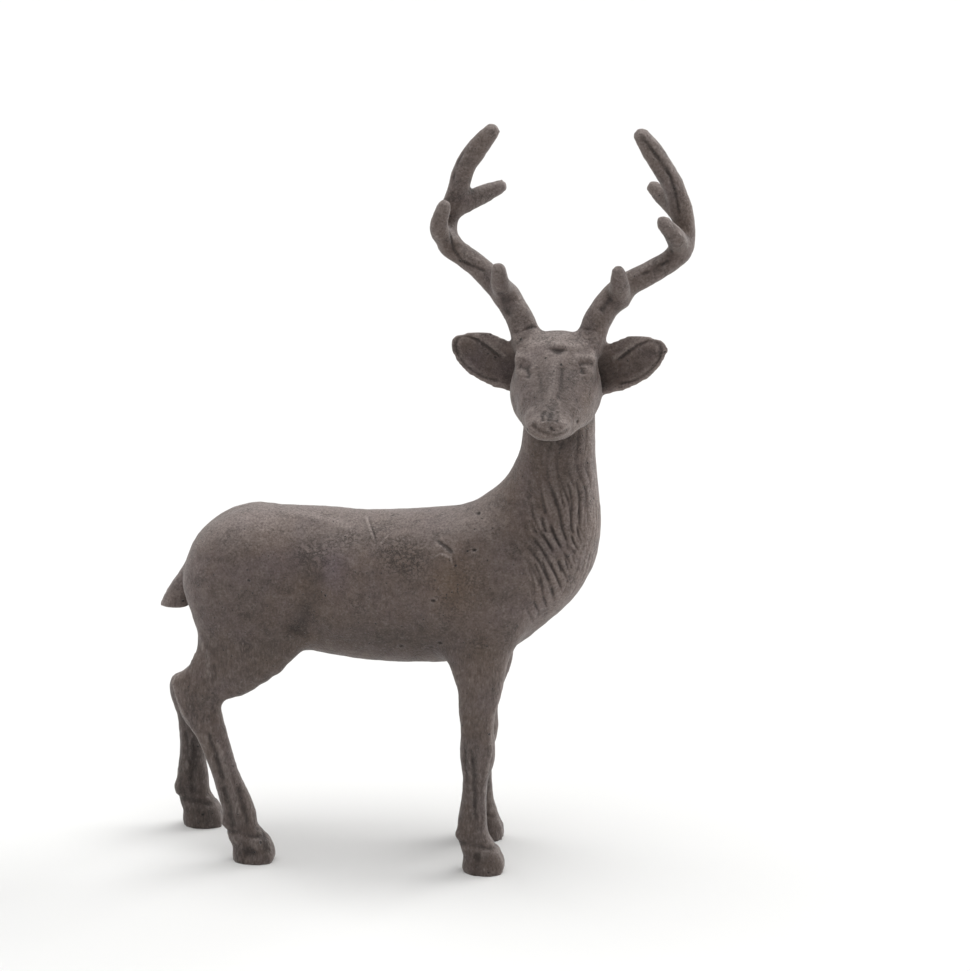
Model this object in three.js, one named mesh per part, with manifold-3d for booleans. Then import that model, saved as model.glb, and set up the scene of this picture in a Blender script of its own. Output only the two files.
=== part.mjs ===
// A cast iron stag, standing, with its head turned a quarter to its right.
//
// The figure is one casting, so it is one solid. It is modelled the way a sculptor works in clay: limbs
// and muscles are laid on a skeleton and run into each other, hollows are pressed in, and the soles are
// cut off flat. Each shape is a distance field, in millimetres and negative inside. The fields are
// blended into one, its surface is found on a grid, thinned to few triangles and trimmed at the floor.
//
// Frame: +X is the way the body faces, +Y is the stag's left, +Z is up. The origin is on the floor,
// under the middle of the figure's bounding box.
import * as THREE from "three";
import { triTable } from "three/addons/objects/MarchingCubes.js";
import Module from "manifold-3d";

// Driving dimensions, in mm. The figure's pose and proportions are drawn at DRAWN_HEIGHT and follow HEIGHT.
const HEIGHT = 320;
const DRAWN_HEIGHT = 319;
const RIB_HALF_WIDTH = 28;
const STANCE_HALF_WIDTH = 21.5;
const HOOF_HALF_WIDTH = 7.6;
const HOOF_HALF_LENGTH = 9.6;
const CLEFT_WIDTH = 1.6;
const EAR_HALF_WIDTH = 10.4;
const EAR_THICKNESS = 6;
const EAR_HOLLOW = 3.4;
const BEAM_RADIUS = 5.6;
const TINE_RADIUS = 4.3;
const BEAM_TIP_RADIUS = 3.8;
const TIP_RADIUS = 3.1;
const LOCK_DEPTH = 0.6;
const LOCK_SPACING = 6;
const EYE_RADIUS = 4.2;

// How fine the surface is: the grid's cell in mm, and the triangles left after thinning.
const CELL = 1.6;
const TRIANGLES = 9600;

const SHARE = HEIGHT / DRAWN_HEIGHT;
const shared = (values) => values.map((value) => value * SHARE);
const CAST_IRON = new THREE.MeshStandardMaterial({
  name: "cast_iron",
  color: new THREE.Color().setRGB(0.125, 0.098, 0.088),
  roughness: 0.72,
  metalness: 0.35,
});

// Blends two fields: within `reach` of each other their surfaces run together in a fillet.
function melt(a, b, reach) {
  const overlap = Math.max(reach - Math.abs(a - b), 0) / reach;
  return Math.min(a, b) - (overlap * overlap * reach) / 4;
}

// A limb follows a smooth curve through stations of [x, y, z, half size across, half size deep].
// `across` is the direction that the first half size is measured in.
function limb(stations, across = [0, 1, 0], stepsPerStation = 4) {
  const rows = stations.map(shared);
  const path = new THREE.CatmullRomCurve3(rows.map((r) => new THREE.Vector3(r[0], r[1], r[2])));
  const sizes = new THREE.CatmullRomCurve3(rows.map((r) => new THREE.Vector3(r[3], r[4], 0)));
  const count = (rows.length - 1) * stepsPerStation;
  const side = new THREE.Vector3(...across);
  const rings = [];
  for (let i = 0; i <= count; i++) {
    const t = i / count;
    const centre = path.getPoint(t);
    const size = sizes.getPoint(t);
    const w = path.getTangent(t);
    const u = side.clone().addScaledVector(w, -side.dot(w)).normalize();
    const v = w.clone().cross(u);
    rings.push({ centre, u, v, w, ru: size.x, rv: size.y });
  }
  const reach = Math.max(...rings.map(({ ru, rv }) => Math.max(ru, rv)));
  const box = new THREE.Box3().setFromPoints(rings.map(({ centre }) => centre)).expandByScalar(reach);
  return { box, at: (x, y, z) => limbDistance(rings, x, y, z) };
}

const lengthOf = (x, y, z) => Math.sqrt(x * x + y * y + z * z);

// How far (x, y, z) reaches along a direction that turns from a to b as t runs from 0 to 1.
function reachAlong(a, b, t, x, y, z) {
  return x * (a.x + (b.x - a.x) * t) + y * (a.y + (b.y - a.y) * t) + z * (a.z + (b.z - a.z) * t);
}

// The distance from a point to the nearest stretch between two rings.
function limbDistance(rings, x, y, z) {
  let nearest = Infinity;
  for (let i = 0; i + 1 < rings.length; i++) {
    const a = rings[i];
    const b = rings[i + 1];
    const abx = b.centre.x - a.centre.x;
    const aby = b.centre.y - a.centre.y;
    const abz = b.centre.z - a.centre.z;
    const run = (x - a.centre.x) * abx + (y - a.centre.y) * aby + (z - a.centre.z) * abz;
    const t = Math.min(Math.max(run / (abx * abx + aby * aby + abz * abz), 0), 1);
    const qx = x - a.centre.x - abx * t;
    const qy = y - a.centre.y - aby * t;
    const qz = z - a.centre.z - abz * t;
    const ru = a.ru + (b.ru - a.ru) * t;
    const rv = a.rv + (b.rv - a.rv) * t;
    if (lengthOf(qx, qy, qz) - Math.max(ru, rv) > nearest) continue;
    const du = reachAlong(a.u, b.u, t, qx, qy, qz);
    const dv = reachAlong(a.v, b.v, t, qx, qy, qz);
    const dw = reachAlong(a.w, b.w, t, qx, qy, qz);
    nearest = Math.min(nearest, ellipsoidDistance(du, dv, dw, ru, rv, Math.min(ru, rv)));
  }
  return nearest;
}

// Close to an ellipsoid's surface this is its distance.
function ellipsoidDistance(u, v, w, ru, rv, rw) {
  const k0 = lengthOf(u / ru, v / rv, w / rw);
  if (k0 < 0.05) return -Math.min(ru, rv, rw);
  const k1 = lengthOf(u / (ru * ru), v / (rv * rv), w / (rw * rw));
  return (k0 * (k0 - 1)) / k1;
}

// An ellipsoid, turned by Euler angles in degrees: a muscle, a bone's end or a thumb's dent.
function blob(centre, radii, turn = [0, 0, 0]) {
  const [cx, cy, cz] = shared(centre);
  const [rx, ry, rz] = shared(radii);
  const euler = new THREE.Euler(...turn.map(THREE.MathUtils.degToRad), "ZYX");
  const m = new THREE.Matrix4().makeRotationFromEuler(euler).transpose().elements;
  const reach = Math.max(rx, ry, rz);
  const box = new THREE.Box3(new THREE.Vector3(cx, cy, cz), new THREE.Vector3(cx, cy, cz));
  box.expandByScalar(reach);
  const at = (x, y, z) => {
    const px = x - cx;
    const py = y - cy;
    const pz = z - cz;
    const u = m[0] * px + m[4] * py + m[8] * pz;
    const v = m[1] * px + m[5] * py + m[9] * pz;
    const w = m[2] * px + m[6] * py + m[10] * pz;
    return ellipsoidDistance(u, v, w, rx, ry, rz);
  };
  return { box, at };
}

// The clay: shapes in the order that they are laid on or pressed in.
const clay = [];
const add = (shape, blend) => clay.push({ ...shape, blend: blend * SHARE, cut: false });
const press = (shape, blend) => clay.push({ ...shape, blend: blend * SHARE, cut: true });

// Trunk: from the rump to the brisket. Its half width across the ribs drives the rest of the row.
function layTrunk() {
  const ribs = RIB_HALF_WIDTH;
  add(
    limb([
      [-107.6, 0, 127, ribs - 7, 20.6],
      [-98, 0, 125.5, ribs - 3, 27.5],
      [-78, 0, 122.5, ribs - 3, 31],
      [-52, 0, 120, ribs + 1, 32.5],
      [-26, 0, 120.5, ribs, 33.5],
      [-4, 0, 123, ribs - 3, 33],
      [12, 0, 129.5, ribs - 7, 27],
      [21, 0, 136, ribs - 11, 18.5],
    ]),
    1,
  );
  for (const side of [-1, 1]) {
    add(blob([-2, side * 15, 124], [19, 12, 27], [0, 12, 0]), 14);
    add(blob([-102, side * 13, 124], [21.5, 14, 23], [0, -20, 0]), 14);
  }
}

function layNeck() {
  add(
    limb([
      [19, 0, 136.4, 20, 25.6],
      [22.8, 0, 144.4, 19.5, 26.4],
      [26.8, -1, 155, 18, 23.2],
      [29.6, -3, 167, 16, 19],
      [31.2, -4, 178, 14.5, 16.3],
      [32, -4, 190, 14, 15.2],
      [32.2, -3, 204, 13, 14.2],
      [32.2, -2, 215, 11, 12.5],
    ]),
    12,
  );
}

// A foreleg from the shoulder down. Joints are [x, y, z] and side is -1 on the stag's right.
function layForeleg(side, { shoulder, elbow, knee, fetlock, hoof }) {
  const y = side * STANCE_HALF_WIDTH;
  const joint = ([x, z], dy = 0) => [x, y + side * dy, z];
  add(
    limb([
      [...joint(shoulder, -7), 11, 19],
      [...joint(elbow, -2.5), 9.5, 13.2],
      [elbow[0] + 1, y, elbow[1] - 14, 7.4, 9.8],
      [(elbow[0] + knee[0]) / 2, y, (elbow[1] + knee[1]) / 2 - 2, 6.6, 8],
      [...joint(knee), 5.7, 6.2],
      [(knee[0] + fetlock[0]) / 2, y, (knee[1] + fetlock[1]) / 2, 4.9, 5.3],
      [...joint(fetlock), 5.9, 6.6],
      [fetlock[0] + 1.5, y, fetlock[1] - 8, 5.8, 6.4],
    ]),
    5.5,
  );
  add(blob([knee[0] + 0.6, y, knee[1] + 1], [6, 5.6, 8]), 6);
  layHoof([hoof[0], y], fetlock, side);
}

function layHindLeg(side, { hip, stifle, gaskin, tendon, hock, heel, fetlock, hoof }) {
  const y = side * STANCE_HALF_WIDTH;
  add(
    limb([
      [hip[0], y - side * 8, hip[1], 12, 24],
      [stifle[0], y - side * 5, stifle[1], 12.5, 24.2],
      [gaskin[0], y - side * 2.5, gaskin[1], 9.5, 16.4],
      [tendon[0], y - side * 0.5, tendon[1], 7.4, tendon[2]],
      [hock[0], y, hock[1] - 2, 6.3, 9.8],
      [hock[0] + (fetlock[0] - hock[0]) * 0.28, y, hock[1] + (fetlock[1] - hock[1]) * 0.28, 5.4, 7],
      [hock[0] + (fetlock[0] - hock[0]) * 0.66, y, hock[1] + (fetlock[1] - hock[1]) * 0.66, 5, 5.8],
      [fetlock[0] + 0.5, y, fetlock[1], 5.8, 7.3],
      [fetlock[0] + 1.4, y, fetlock[1] - 8, 5.6, 6.2],
    ]),
    9,
  );
  add(blob([heel[0], y, heel[1]], [4.5, 4.5, 6.4], [0, -32, 0]), 5);
  layHoof([hoof[0], y], fetlock, side);
}

// A cloven hoof: two toes side by side that reach forward, with the dewclaws behind the fetlock.
// It runs a little below the floor, where the trim makes its flat sole.
const BELOW_FLOOR = 2.5;
function layHoof([x, y], fetlock, side) {
  const half = HOOF_HALF_WIDTH / SHARE;
  const length = HOOF_HALF_LENGTH / SHARE;
  add(
    limb(
      [
        [fetlock[0] + 1, y, 12, half - 2, 6.2],
        [x - 0.8, y, 7.5, half - 0.7, length - 1.6],
        [x, y, 3, half, length],
        [x + 0.7, y, -BELOW_FLOOR, half - 0.4, length - 1],
      ],
      [0, 1, 0],
    ),
    2.5,
  );
  for (const toe of [-1, 1]) add(blob([fetlock[0] - 5, y + toe * 3.2, fetlock[1] - 3], [2.4, 2, 3.2]), 2.4);
  const cleft = CLEFT_WIDTH / SHARE / 2;
  press(blob([x + length, y, 2], [length * 0.9, cleft, 9], [0, -25, 0]), 1);
  press(blob([x - 2.5, y + side * half, 5], [2, 1.2, 3]), 2);
}

function layTail() {
  add(
    limb([
      [-120, 0, 137, 4, 3.6],
      [-128.2, 0, 124, 5.2, 4],
      [-133, 0, 114.6, 5.8, 5.4],
      [-137.4, 0, 104.8, 5.2, 6.2],
    ]),
    3,
  );
  press(blob([-137, 0, 90], [26, 26, 17.4]), 0.8);
}

// The head has a frame of its own: right, forward and up are measured from the middle of the skull,
// and forward dips by HEAD_DIP below the horizon.
const SKULL = [32, -9, 218];
const HEAD_DIP = THREE.MathUtils.degToRad(27);
const headPoint = (right, forward, up) => [
  SKULL[0] - right,
  SKULL[1] - forward * Math.cos(HEAD_DIP) - up * Math.sin(HEAD_DIP),
  SKULL[2] - forward * Math.sin(HEAD_DIP) + up * Math.cos(HEAD_DIP),
];
const DIP_DEGREES = THREE.MathUtils.radToDeg(HEAD_DIP);
const headBlob = (right, forward, up, radii, tip = 0, roll = 0) =>
  blob(headPoint(right, forward, up), radii, [DIP_DEGREES + tip, 0, roll]);

function layHead() {
  const section = (forward, up, across, deep) => [...headPoint(0, forward, up), across, deep];
  add(
    limb(
      [
        section(-8, -1.5, 13, 11),
        section(-3, 0, 16.5, 13.5),
        section(5, 0, 18.4, 14.6),
        section(13, -1.7, 18, 14),
        section(21, -3, 15.8, 12),
        section(29, -3.2, 12.4, 9.2),
        section(35, -1.4, 10.2, 7),
        section(38.5, -0.5, 9.2, 5.4),
      ],
      [1, 0, 0],
    ),
    7,
  );
  // The flat crown between the antlers, then cheeks, brows, eyes and nostrils on both sides.
  add(headBlob(0, -2, 8.6, [15.5, 8, 5.6]), 5);
  for (const side of [-1, 1]) {
    add(headBlob(side * 10.5, 11, -7, [8.5, 13, 8.5]), 5);
    const eyeball = [EYE_RADIUS * 0.8, EYE_RADIUS * 1.1, EYE_RADIUS * 0.8];
    press(headBlob(side * 19, 10.5, 7, [6, 6, 3.8], 0, side * 14), 3);
    add(headBlob(side * 12, 5.6, 9.2, [5.4, 4.6, 2.8], 0, side * 24), 4);
    add(headBlob(side * 13.4, 10.4, 5.8, eyeball, 0, side * 14), 2.5);
    press(headBlob(side * 4.4, 42.5, 0.4, [1.6, 2.2, 1.4]), 1);
  }
  // The bridge of the nose, the muzzle's end and the dent in the forehead.
  add(headBlob(0, 24, 4.4, [4.2, 18, 4], 11), 4);
  add(headBlob(0, 39.6, 1.5, [8.2, 5.3, 4.8]), 2);
  press(headBlob(0, 5.5, 16.6, [3.2, 1.6, 1.8]), 0.8);
}

// An ear is a broad leaf on its side, hollowed from the front. side is 1 on the stag's right.
function layEar(side) {
  const root = headPoint(side * 16, -2, -4.6);
  const tip = headPoint(side * 44.5, -5, 9.2);
  const wide = EAR_HALF_WIDTH / SHARE;
  const thick = EAR_THICKNESS / SHARE / 2;
  const profile = [
    [0.06, 0.86, 1.5],
    [0.3, 1, 1.15],
    [0.58, 0.98, 1],
    [0.8, 0.74, 0.9],
    [0.95, 0.36, 0.8],
  ];
  const leaf = (shrink, back, deeper) =>
    profile.map(([share, width, thickness]) => [
      root[0] + (tip[0] - root[0]) * share,
      root[1] + (tip[1] - root[1]) * share - back,
      root[2] + (tip[2] - root[2]) * share,
      Math.max(wide * width - shrink, 1),
      thick * thickness + deeper,
    ]);
  const turned = [0.35 * side, 0.12, 1];
  add(limb(leaf(0, 0, 0), turned), 4);
  press(limb(leaf(1.7, EAR_HOLLOW / SHARE, 0), turned), 1.2);
}

// An antler: a beam through its points, and tines that leave it and end in blunt tips.
function layAntler(beam, tines) {
  const last = beam.length - 1;
  const rows = beam.map(([x, y, z], i) => {
    const taper = 1.16 - 0.3 * THREE.MathUtils.smoothstep(i / last, 0, 0.5);
    const radius = i === last ? BEAM_TIP_RADIUS : BEAM_RADIUS * taper;
    return [x, y, z, radius / SHARE, (radius * 0.93) / SHARE];
  });
  add(limb(rows, [0.3, 1, 0]), 3);
  for (const { root, elbow, tip } of tines) {
    const round = (radius) => [radius / SHARE, radius / SHARE];
    const tine = [
      [...root, ...round(TINE_RADIUS)],
      [...elbow, ...round(TINE_RADIUS * 0.96)],
      [...tip, ...round(TIP_RADIUS)],
    ];
    add(limb(tine, [0.3, 1, 0.1]), 3);
  }
}

// Locks of the mane lie side by side on the neck's sides and sweep forward to the chest. They fade
// out at the throat, which is smooth, and towards the withers and the shoulder.
function maneWave(x, y, z) {
  const { smoothstep, clamp } = THREE.MathUtils;
  const px = x / SHARE;
  const pz = z / SHARE;
  const height = smoothstep(pz, 108, 118) * (1 - smoothstep(pz, 184, 194));
  if (height === 0) return 0;
  const below = Math.max(190 - pz, 0);
  const axis = 32 - 0.0049 * below * below;
  const turn = Math.atan2(Math.abs(y / SHARE), px - axis);
  const edge = 0.8 + 0.026 * clamp(pz - 118, 0, 42);
  const side = smoothstep(turn, 0.3, 0.6) * (1 - smoothstep(turn, edge - 0.2, edge + 0.25));
  if (side === 0) return 0;
  const sweep = 40 * smoothstep(pz, 92, 176);
  const across = 0.8 * (Math.abs(y / SHARE) - px) - sweep + 0.9 * Math.sin(pz * 0.2);
  return LOCK_DEPTH * height * side * Math.cos((across / LOCK_SPACING) * 2 * Math.PI);
}

layTrunk();
layNeck();
layForeleg(-1, { shoulder: [2, 116], elbow: [0, 96], knee: [-0.5, 52], fetlock: [-2.4, 20], hoof: [2.6] });
layForeleg(1, { shoulder: [2, 116], elbow: [-2.2, 95], knee: [-5, 50], fetlock: [-6, 20], hoof: [-3.6] });
layHindLeg(-1, {
  hip: [-103, 123],
  stifle: [-99.5, 105],
  gaskin: [-107.8, 88.6],
  tendon: [-117.3, 80.6, 11.5],
  hock: [-121, 72.5],
  heel: [-127.6, 78.4],
  fetlock: [-104.6, 21],
  hoof: [-98],
});
layHindLeg(1, {
  hip: [-104, 122],
  stifle: [-102, 102],
  gaskin: [-115, 80],
  tendon: [-127.2, 68.4, 10.2],
  hock: [-133.6, 62],
  heel: [-139.4, 63.4],
  fetlock: [-135.6, 20],
  hoof: [-130.6],
});
layTail();
layHead();
layEar(1);
layEar(-1);
layAntler(
  [
    [19, -9, 229],
    [15.8, -7, 238],
    [7.8, -2, 248.6],
    [-5, 4, 259.6],
    [-16, 7, 267],
    [-17.3, 9, 277],
    [-13, 8, 288.5],
    [-9.4, 6, 299.6],
    [-3.4, 3.4, 308.4],
    [2.8, 0, 315.4],
  ],
  [
    { root: [10, -3, 247.5], elbow: [8, -12, 254], tip: [8, -16, 260.5] },
    { root: [-16, 6, 267], elbow: [-19, -3, 275], tip: [-16, -8, 285] },
    { root: [-12, 9, 283], elbow: [-3.4, 14.5, 287], tip: [4, 18.4, 290.2] },
  ],
);
layAntler(
  [
    [45, -9, 229],
    [48.4, -7, 239],
    [56.8, -1, 250.5],
    [72, 4, 259],
    [81.6, 7, 266.5],
    [82.4, 8.8, 278.5],
    [79.8, 7, 288.2],
    [75.6, 4, 297.8],
    [69.8, 1.4, 307.4],
    [65, 0, 314.4],
  ],
  [
    { root: [57.5, -3, 247], elbow: [57.5, -11, 254], tip: [57.5, -15, 260] },
    { root: [81, 5, 267], elbow: [79.6, -3.4, 273.6], tip: [75, -8, 280] },
    { root: [79.5, 9, 283], elbow: [73.6, 14.5, 287.4], tip: [68.6, 18.4, 290.8] },
  ],
);

// The whole figure's field. A shape that is too far off to matter is skipped.
function figure(x, y, z) {
  let d = 1e3;
  for (const { box, at, blend, cut } of clay) {
    const ox = Math.max(box.min.x - x, 0, x - box.max.x);
    const oy = Math.max(box.min.y - y, 0, y - box.max.y);
    const oz = Math.max(box.min.z - z, 0, z - box.max.z);
    const off = lengthOf(ox, oy, oz);
    if (off > (cut ? -d : d) + blend) continue;
    d = cut ? -melt(-d, at(x, y, z), blend) : melt(d, at(x, y, z), blend);
  }
  return d + (Math.abs(d) < 4 ? maneWave(x, y, z) : 0);
}

// Marching cubes over the figure's box. Blocks of cells that lie clear of the surface are left out.
function surfaceOf(field, box, cell) {
  const BLOCK = 4;
  const size = box.getSize(new THREE.Vector3());
  const [nx, ny, nz] = [size.x, size.y, size.z].map((s) => Math.ceil(s / cell / BLOCK) * BLOCK + 1);
  const values = new Float32Array(nx * ny * nz).fill(NaN);
  const index = (i, j, k) => i + nx * (j + ny * k);
  const place = (i, j, k) => [box.min.x + i * cell, box.min.y + j * cell, box.min.z + k * cell];
  const valueAt = (i, j, k) => {
    const n = index(i, j, k);
    if (Number.isNaN(values[n])) values[n] = field(...place(i, j, k)) || 1e-6;
    return values[n];
  };
  const CORNERS = [[0, 0, 0], [1, 0, 0], [1, 1, 0], [0, 1, 0], [0, 0, 1], [1, 0, 1], [1, 1, 1], [0, 1, 1]];
  const RINGS = [[0, 1], [1, 2], [2, 3], [3, 0], [4, 5], [5, 6], [6, 7], [7, 4]];
  const EDGES = [...RINGS, [0, 4], [1, 5], [2, 6], [3, 7]];
  const positions = [];
  const triangles = [];
  const made = new Map();
  const vertexOn = (i, j, k, edge) => {
    const [from, to] = EDGES[edge].map((c) => CORNERS[c].map((o, axis) => o + [i, j, k][axis]));
    const [a, b] = [index(...from), index(...to)].sort((p, q) => p - q);
    const key = a * 3 + (b - a === 1 ? 0 : b - a === nx ? 1 : 2);
    if (!made.has(key)) {
      const [va, vb] = [valueAt(...from), valueAt(...to)];
      const t = va / (va - vb);
      const [p, q] = [place(...from), place(...to)];
      made.set(key, positions.length / 3);
      positions.push(...p.map((value, axis) => value + (q[axis] - value) * t));
    }
    return made.get(key);
  };
  const clear = 0.9 * BLOCK * cell * Math.sqrt(3);
  for (let bk = 0; bk < nz - 1; bk += BLOCK)
    for (let bj = 0; bj < ny - 1; bj += BLOCK)
      for (let bi = 0; bi < nx - 1; bi += BLOCK) {
        if (Math.abs(field(...place(bi + BLOCK / 2, bj + BLOCK / 2, bk + BLOCK / 2))) > clear) continue;
        for (let k = bk; k < bk + BLOCK; k++)
          for (let j = bj; j < bj + BLOCK; j++)
            for (let i = bi; i < bi + BLOCK; i++) {
              let inside = 0;
              CORNERS.forEach(([a, b, c], bit) => {
                if (valueAt(i + a, j + b, k + c) > 0) inside |= 1 << bit;
              });
              for (let n = inside * 16; triTable[n] !== -1; n += 3) {
                const corner = [0, 1, 2].map((m) => vertexOn(i, j, k, triTable[n + m]));
                triangles.push(corner);
              }
            }
      }
  return { positions, triangles };
}

// Thins a closed surface by collapsing its cheapest edges, by the quadric error of the planes around
// each vertex. Edges that would fold the surface over or pinch it are kept.
function thin({ positions, triangles }, wanted) {
  const count = positions.length / 3;
  const p = Float64Array.from(positions);
  const quadric = new Float64Array(count * 10);
  const around = Array.from({ length: count }, () => new Set());
  const alive = new Uint8Array(triangles.length).fill(1);
  const version = new Uint32Array(count);
  const gone = new Uint8Array(count);
  const at = (v) => [p[v * 3], p[v * 3 + 1], p[v * 3 + 2]];
  const normalOf = (a, b, c) => {
    const [ux, uy, uz] = [b[0] - a[0], b[1] - a[1], b[2] - a[2]];
    const [vx, vy, vz] = [c[0] - a[0], c[1] - a[1], c[2] - a[2]];
    return [uy * vz - uz * vy, uz * vx - ux * vz, ux * vy - uy * vx];
  };
  triangles.forEach((t, n) => {
    for (const v of t) around[v].add(n);
    const [a, b, c] = t.map(at);
    const normal = normalOf(a, b, c);
    const length = Math.hypot(...normal) || 1e-12;
    const [nx, ny, nz] = normal.map((value) => value / length);
    const d = -(nx * a[0] + ny * a[1] + nz * a[2]);
    const plane = [nx * nx, nx * ny, nx * nz, nx * d, ny * ny, ny * nz, ny * d, nz * nz, nz * d, d * d];
    for (const v of t) plane.forEach((value, i) => (quadric[v * 10 + i] += value * length));
  });
  const costAt = (q, [x, y, z]) =>
    q[0] * x * x + 2 * q[1] * x * y + 2 * q[2] * x * z + 2 * q[3] * x + q[4] * y * y +
    2 * q[5] * y * z + 2 * q[6] * y + q[7] * z * z + 2 * q[8] * z + q[9];
  const EVENNESS = 0.004;
  const collapse = (a, b) => {
    const q = new Float64Array(10);
    for (let i = 0; i < 10; i++) q[i] = quadric[a * 10 + i] + quadric[b * 10 + i];
    const long = at(a).reduce((sum, value, axis) => sum + (value - p[b * 3 + axis]) ** 2, 0);
    const middle = at(a).map((value, axis) => (value + p[b * 3 + axis]) / 2);
    const solve = new THREE.Matrix3(q[0], q[1], q[2], q[1], q[4], q[5], q[2], q[5], q[7]);
    let target = middle;
    const best = new THREE.Vector3(-q[3], -q[6], -q[8]);
    if (Math.abs(solve.determinant()) > 1e-3) {
      best.applyMatrix3(solve.invert());
      if (best.distanceTo(new THREE.Vector3(...middle)) < Math.sqrt(long)) target = best.toArray();
    }
    const cost = Math.max(costAt(q, target), 0) + EVENNESS * long * long;
    return { a, b, target, cost, stamp: version[a] + version[b] };
  };
  const heap = [];
  const push = (item) => {
    let i = heap.push(item) - 1;
    while (i > 0) {
      const parent = (i - 1) >> 1;
      if (heap[parent].cost <= item.cost) break;
      heap[i] = heap[parent];
      i = parent;
    }
    heap[i] = item;
  };
  const pop = () => {
    const top = heap[0];
    const item = heap.pop();
    if (!heap.length) return top;
    let i = 0;
    for (;;) {
      let child = 2 * i + 1;
      if (child >= heap.length) break;
      if (child + 1 < heap.length && heap[child + 1].cost < heap[child].cost) child++;
      if (heap[child].cost >= item.cost) break;
      heap[i] = heap[child];
      i = child;
    }
    heap[i] = item;
    return top;
  };
  const neighbours = (v) => {
    const found = new Set();
    for (const n of around[v]) for (const w of triangles[n]) if (w !== v) found.add(w);
    return found;
  };
  const folds = (v, other, target) => {
    for (const n of around[v]) {
      if (triangles[n].includes(other)) continue;
      const before = triangles[n].map(at);
      const after = triangles[n].map((w, i) => (w === v ? target : before[i]));
      const [m0, m1] = [normalOf(...before), normalOf(...after)];
      const dot = m0[0] * m1[0] + m0[1] * m1[1] + m0[2] * m1[2];
      if (dot < 0.3 * Math.hypot(...m0) * Math.hypot(...m1)) return true;
    }
    return false;
  };
  triangles.forEach(([a, b, c]) => {
    for (const [v, w] of [[a, b], [b, c], [c, a]]) if (v < w) push(collapse(v, w));
  });
  let left = triangles.length;
  while (left > wanted && heap.length) {
    const { a, b, target, stamp } = pop();
    if (gone[a] || gone[b] || stamp !== version[a] + version[b]) continue;
    const near = neighbours(a);
    let common = 0;
    for (const w of neighbours(b)) if (near.has(w)) common++;
    if (common !== 2 || folds(a, b, target) || folds(b, a, target)) continue;
    target.forEach((value, axis) => (p[a * 3 + axis] = value));
    for (let i = 0; i < 10; i++) quadric[a * 10 + i] += quadric[b * 10 + i];
    for (const n of around[b]) {
      if (triangles[n].includes(a)) {
        alive[n] = 0;
        left--;
        for (const v of triangles[n]) if (v !== b) around[v].delete(n);
      } else {
        triangles[n] = triangles[n].map((v) => (v === b ? a : v));
        around[a].add(n);
      }
    }
    gone[b] = 1;
    version[a]++;
    for (const w of neighbours(a)) push(collapse(a, w));
  }
  return { positions: p, triangles: triangles.filter((_, n) => alive[n]) };
}

// A closed mesh as a manifold-3d solid, and back.
const wasm = await Module();
wasm.setup();
function solidOf({ positions, triangles }) {
  const used = new Map();
  const vertProperties = [];
  const triVerts = triangles.flatMap((t) =>
    t.map((v) => {
      if (!used.has(v)) {
        used.set(v, used.size);
        vertProperties.push(positions[v * 3], positions[v * 3 + 1], positions[v * 3 + 2]);
      }
      return used.get(v);
    }),
  );
  const mesh = new wasm.Mesh({
    numProp: 3,
    vertProperties: Float32Array.from(vertProperties),
    triVerts: Uint32Array.from(triVerts),
  });
  return new wasm.Manifold(mesh);
}
function geometryOf(solid) {
  const { vertProperties, triVerts } = solid.getMesh();
  const geometry = new THREE.BufferGeometry();
  geometry.setAttribute("position", new THREE.BufferAttribute(new Float32Array(vertProperties), 3));
  geometry.setIndex(new THREE.BufferAttribute(new Uint32Array(triVerts), 1));
  geometry.computeVertexNormals();
  return geometry;
}
function block(min, max) {
  const size = new THREE.Vector3(...max).sub(new THREE.Vector3(...min));
  const box = new THREE.BoxGeometry(size.x, size.y, size.z);
  box.translate(min[0] + size.x / 2, min[1] + size.y / 2, min[2] + size.z / 2);
  const corners = [];
  const seen = new Map();
  const position = box.getAttribute("position");
  const order = Array.from(box.index.array, (n) => {
    const key = [position.getX(n), position.getY(n), position.getZ(n)].join();
    if (!seen.has(key)) {
      seen.set(key, seen.size);
      corners.push(position.getX(n), position.getY(n), position.getZ(n));
    }
    return seen.get(key);
  });
  const faces = [];
  for (let i = 0; i < order.length; i += 3) faces.push(order.slice(i, i + 3));
  return solidOf({ positions: corners, triangles: faces });
}

const reach = new THREE.Box3();
for (const { box, cut } of clay) if (!cut) reach.union(box);
reach.expandByScalar(CELL * 2.3);
const surface = surfaceOf(figure, reach, CELL * SHARE);
const cast = solidOf(thin(surface, TRIANGLES));
const floor = block([reach.min.x, reach.min.y, reach.min.z - 10], [reach.max.x, reach.max.y, 0]);
const geometry = geometryOf(cast.subtract(floor));
geometry.computeBoundingBox();
const middle = geometry.boundingBox.getCenter(new THREE.Vector3());

const stag = new THREE.Mesh(geometry, CAST_IRON);
stag.name = "stag";
stag.position.set(-middle.x, -middle.y, 0);

const group = new THREE.Group();
group.add(stag);
export default group;
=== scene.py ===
# %% [markdown]
# A cast iron stag
#
# The object is a garden figure of a stag that stands on its four hooves and looks
# over its shoulder at us. It is cast in one piece in a sand mould and left bare, so
# it is brown-grey, matt and rough all over. The solid from the CAD stage has the
# right size and pose but only broad forms. Here a copy of it becomes the clay: it is
# given an even skin, smoothed, and then carved with the finer relief.

import math

import bmesh
import bpy
import numpy as np
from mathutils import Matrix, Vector, noise


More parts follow.
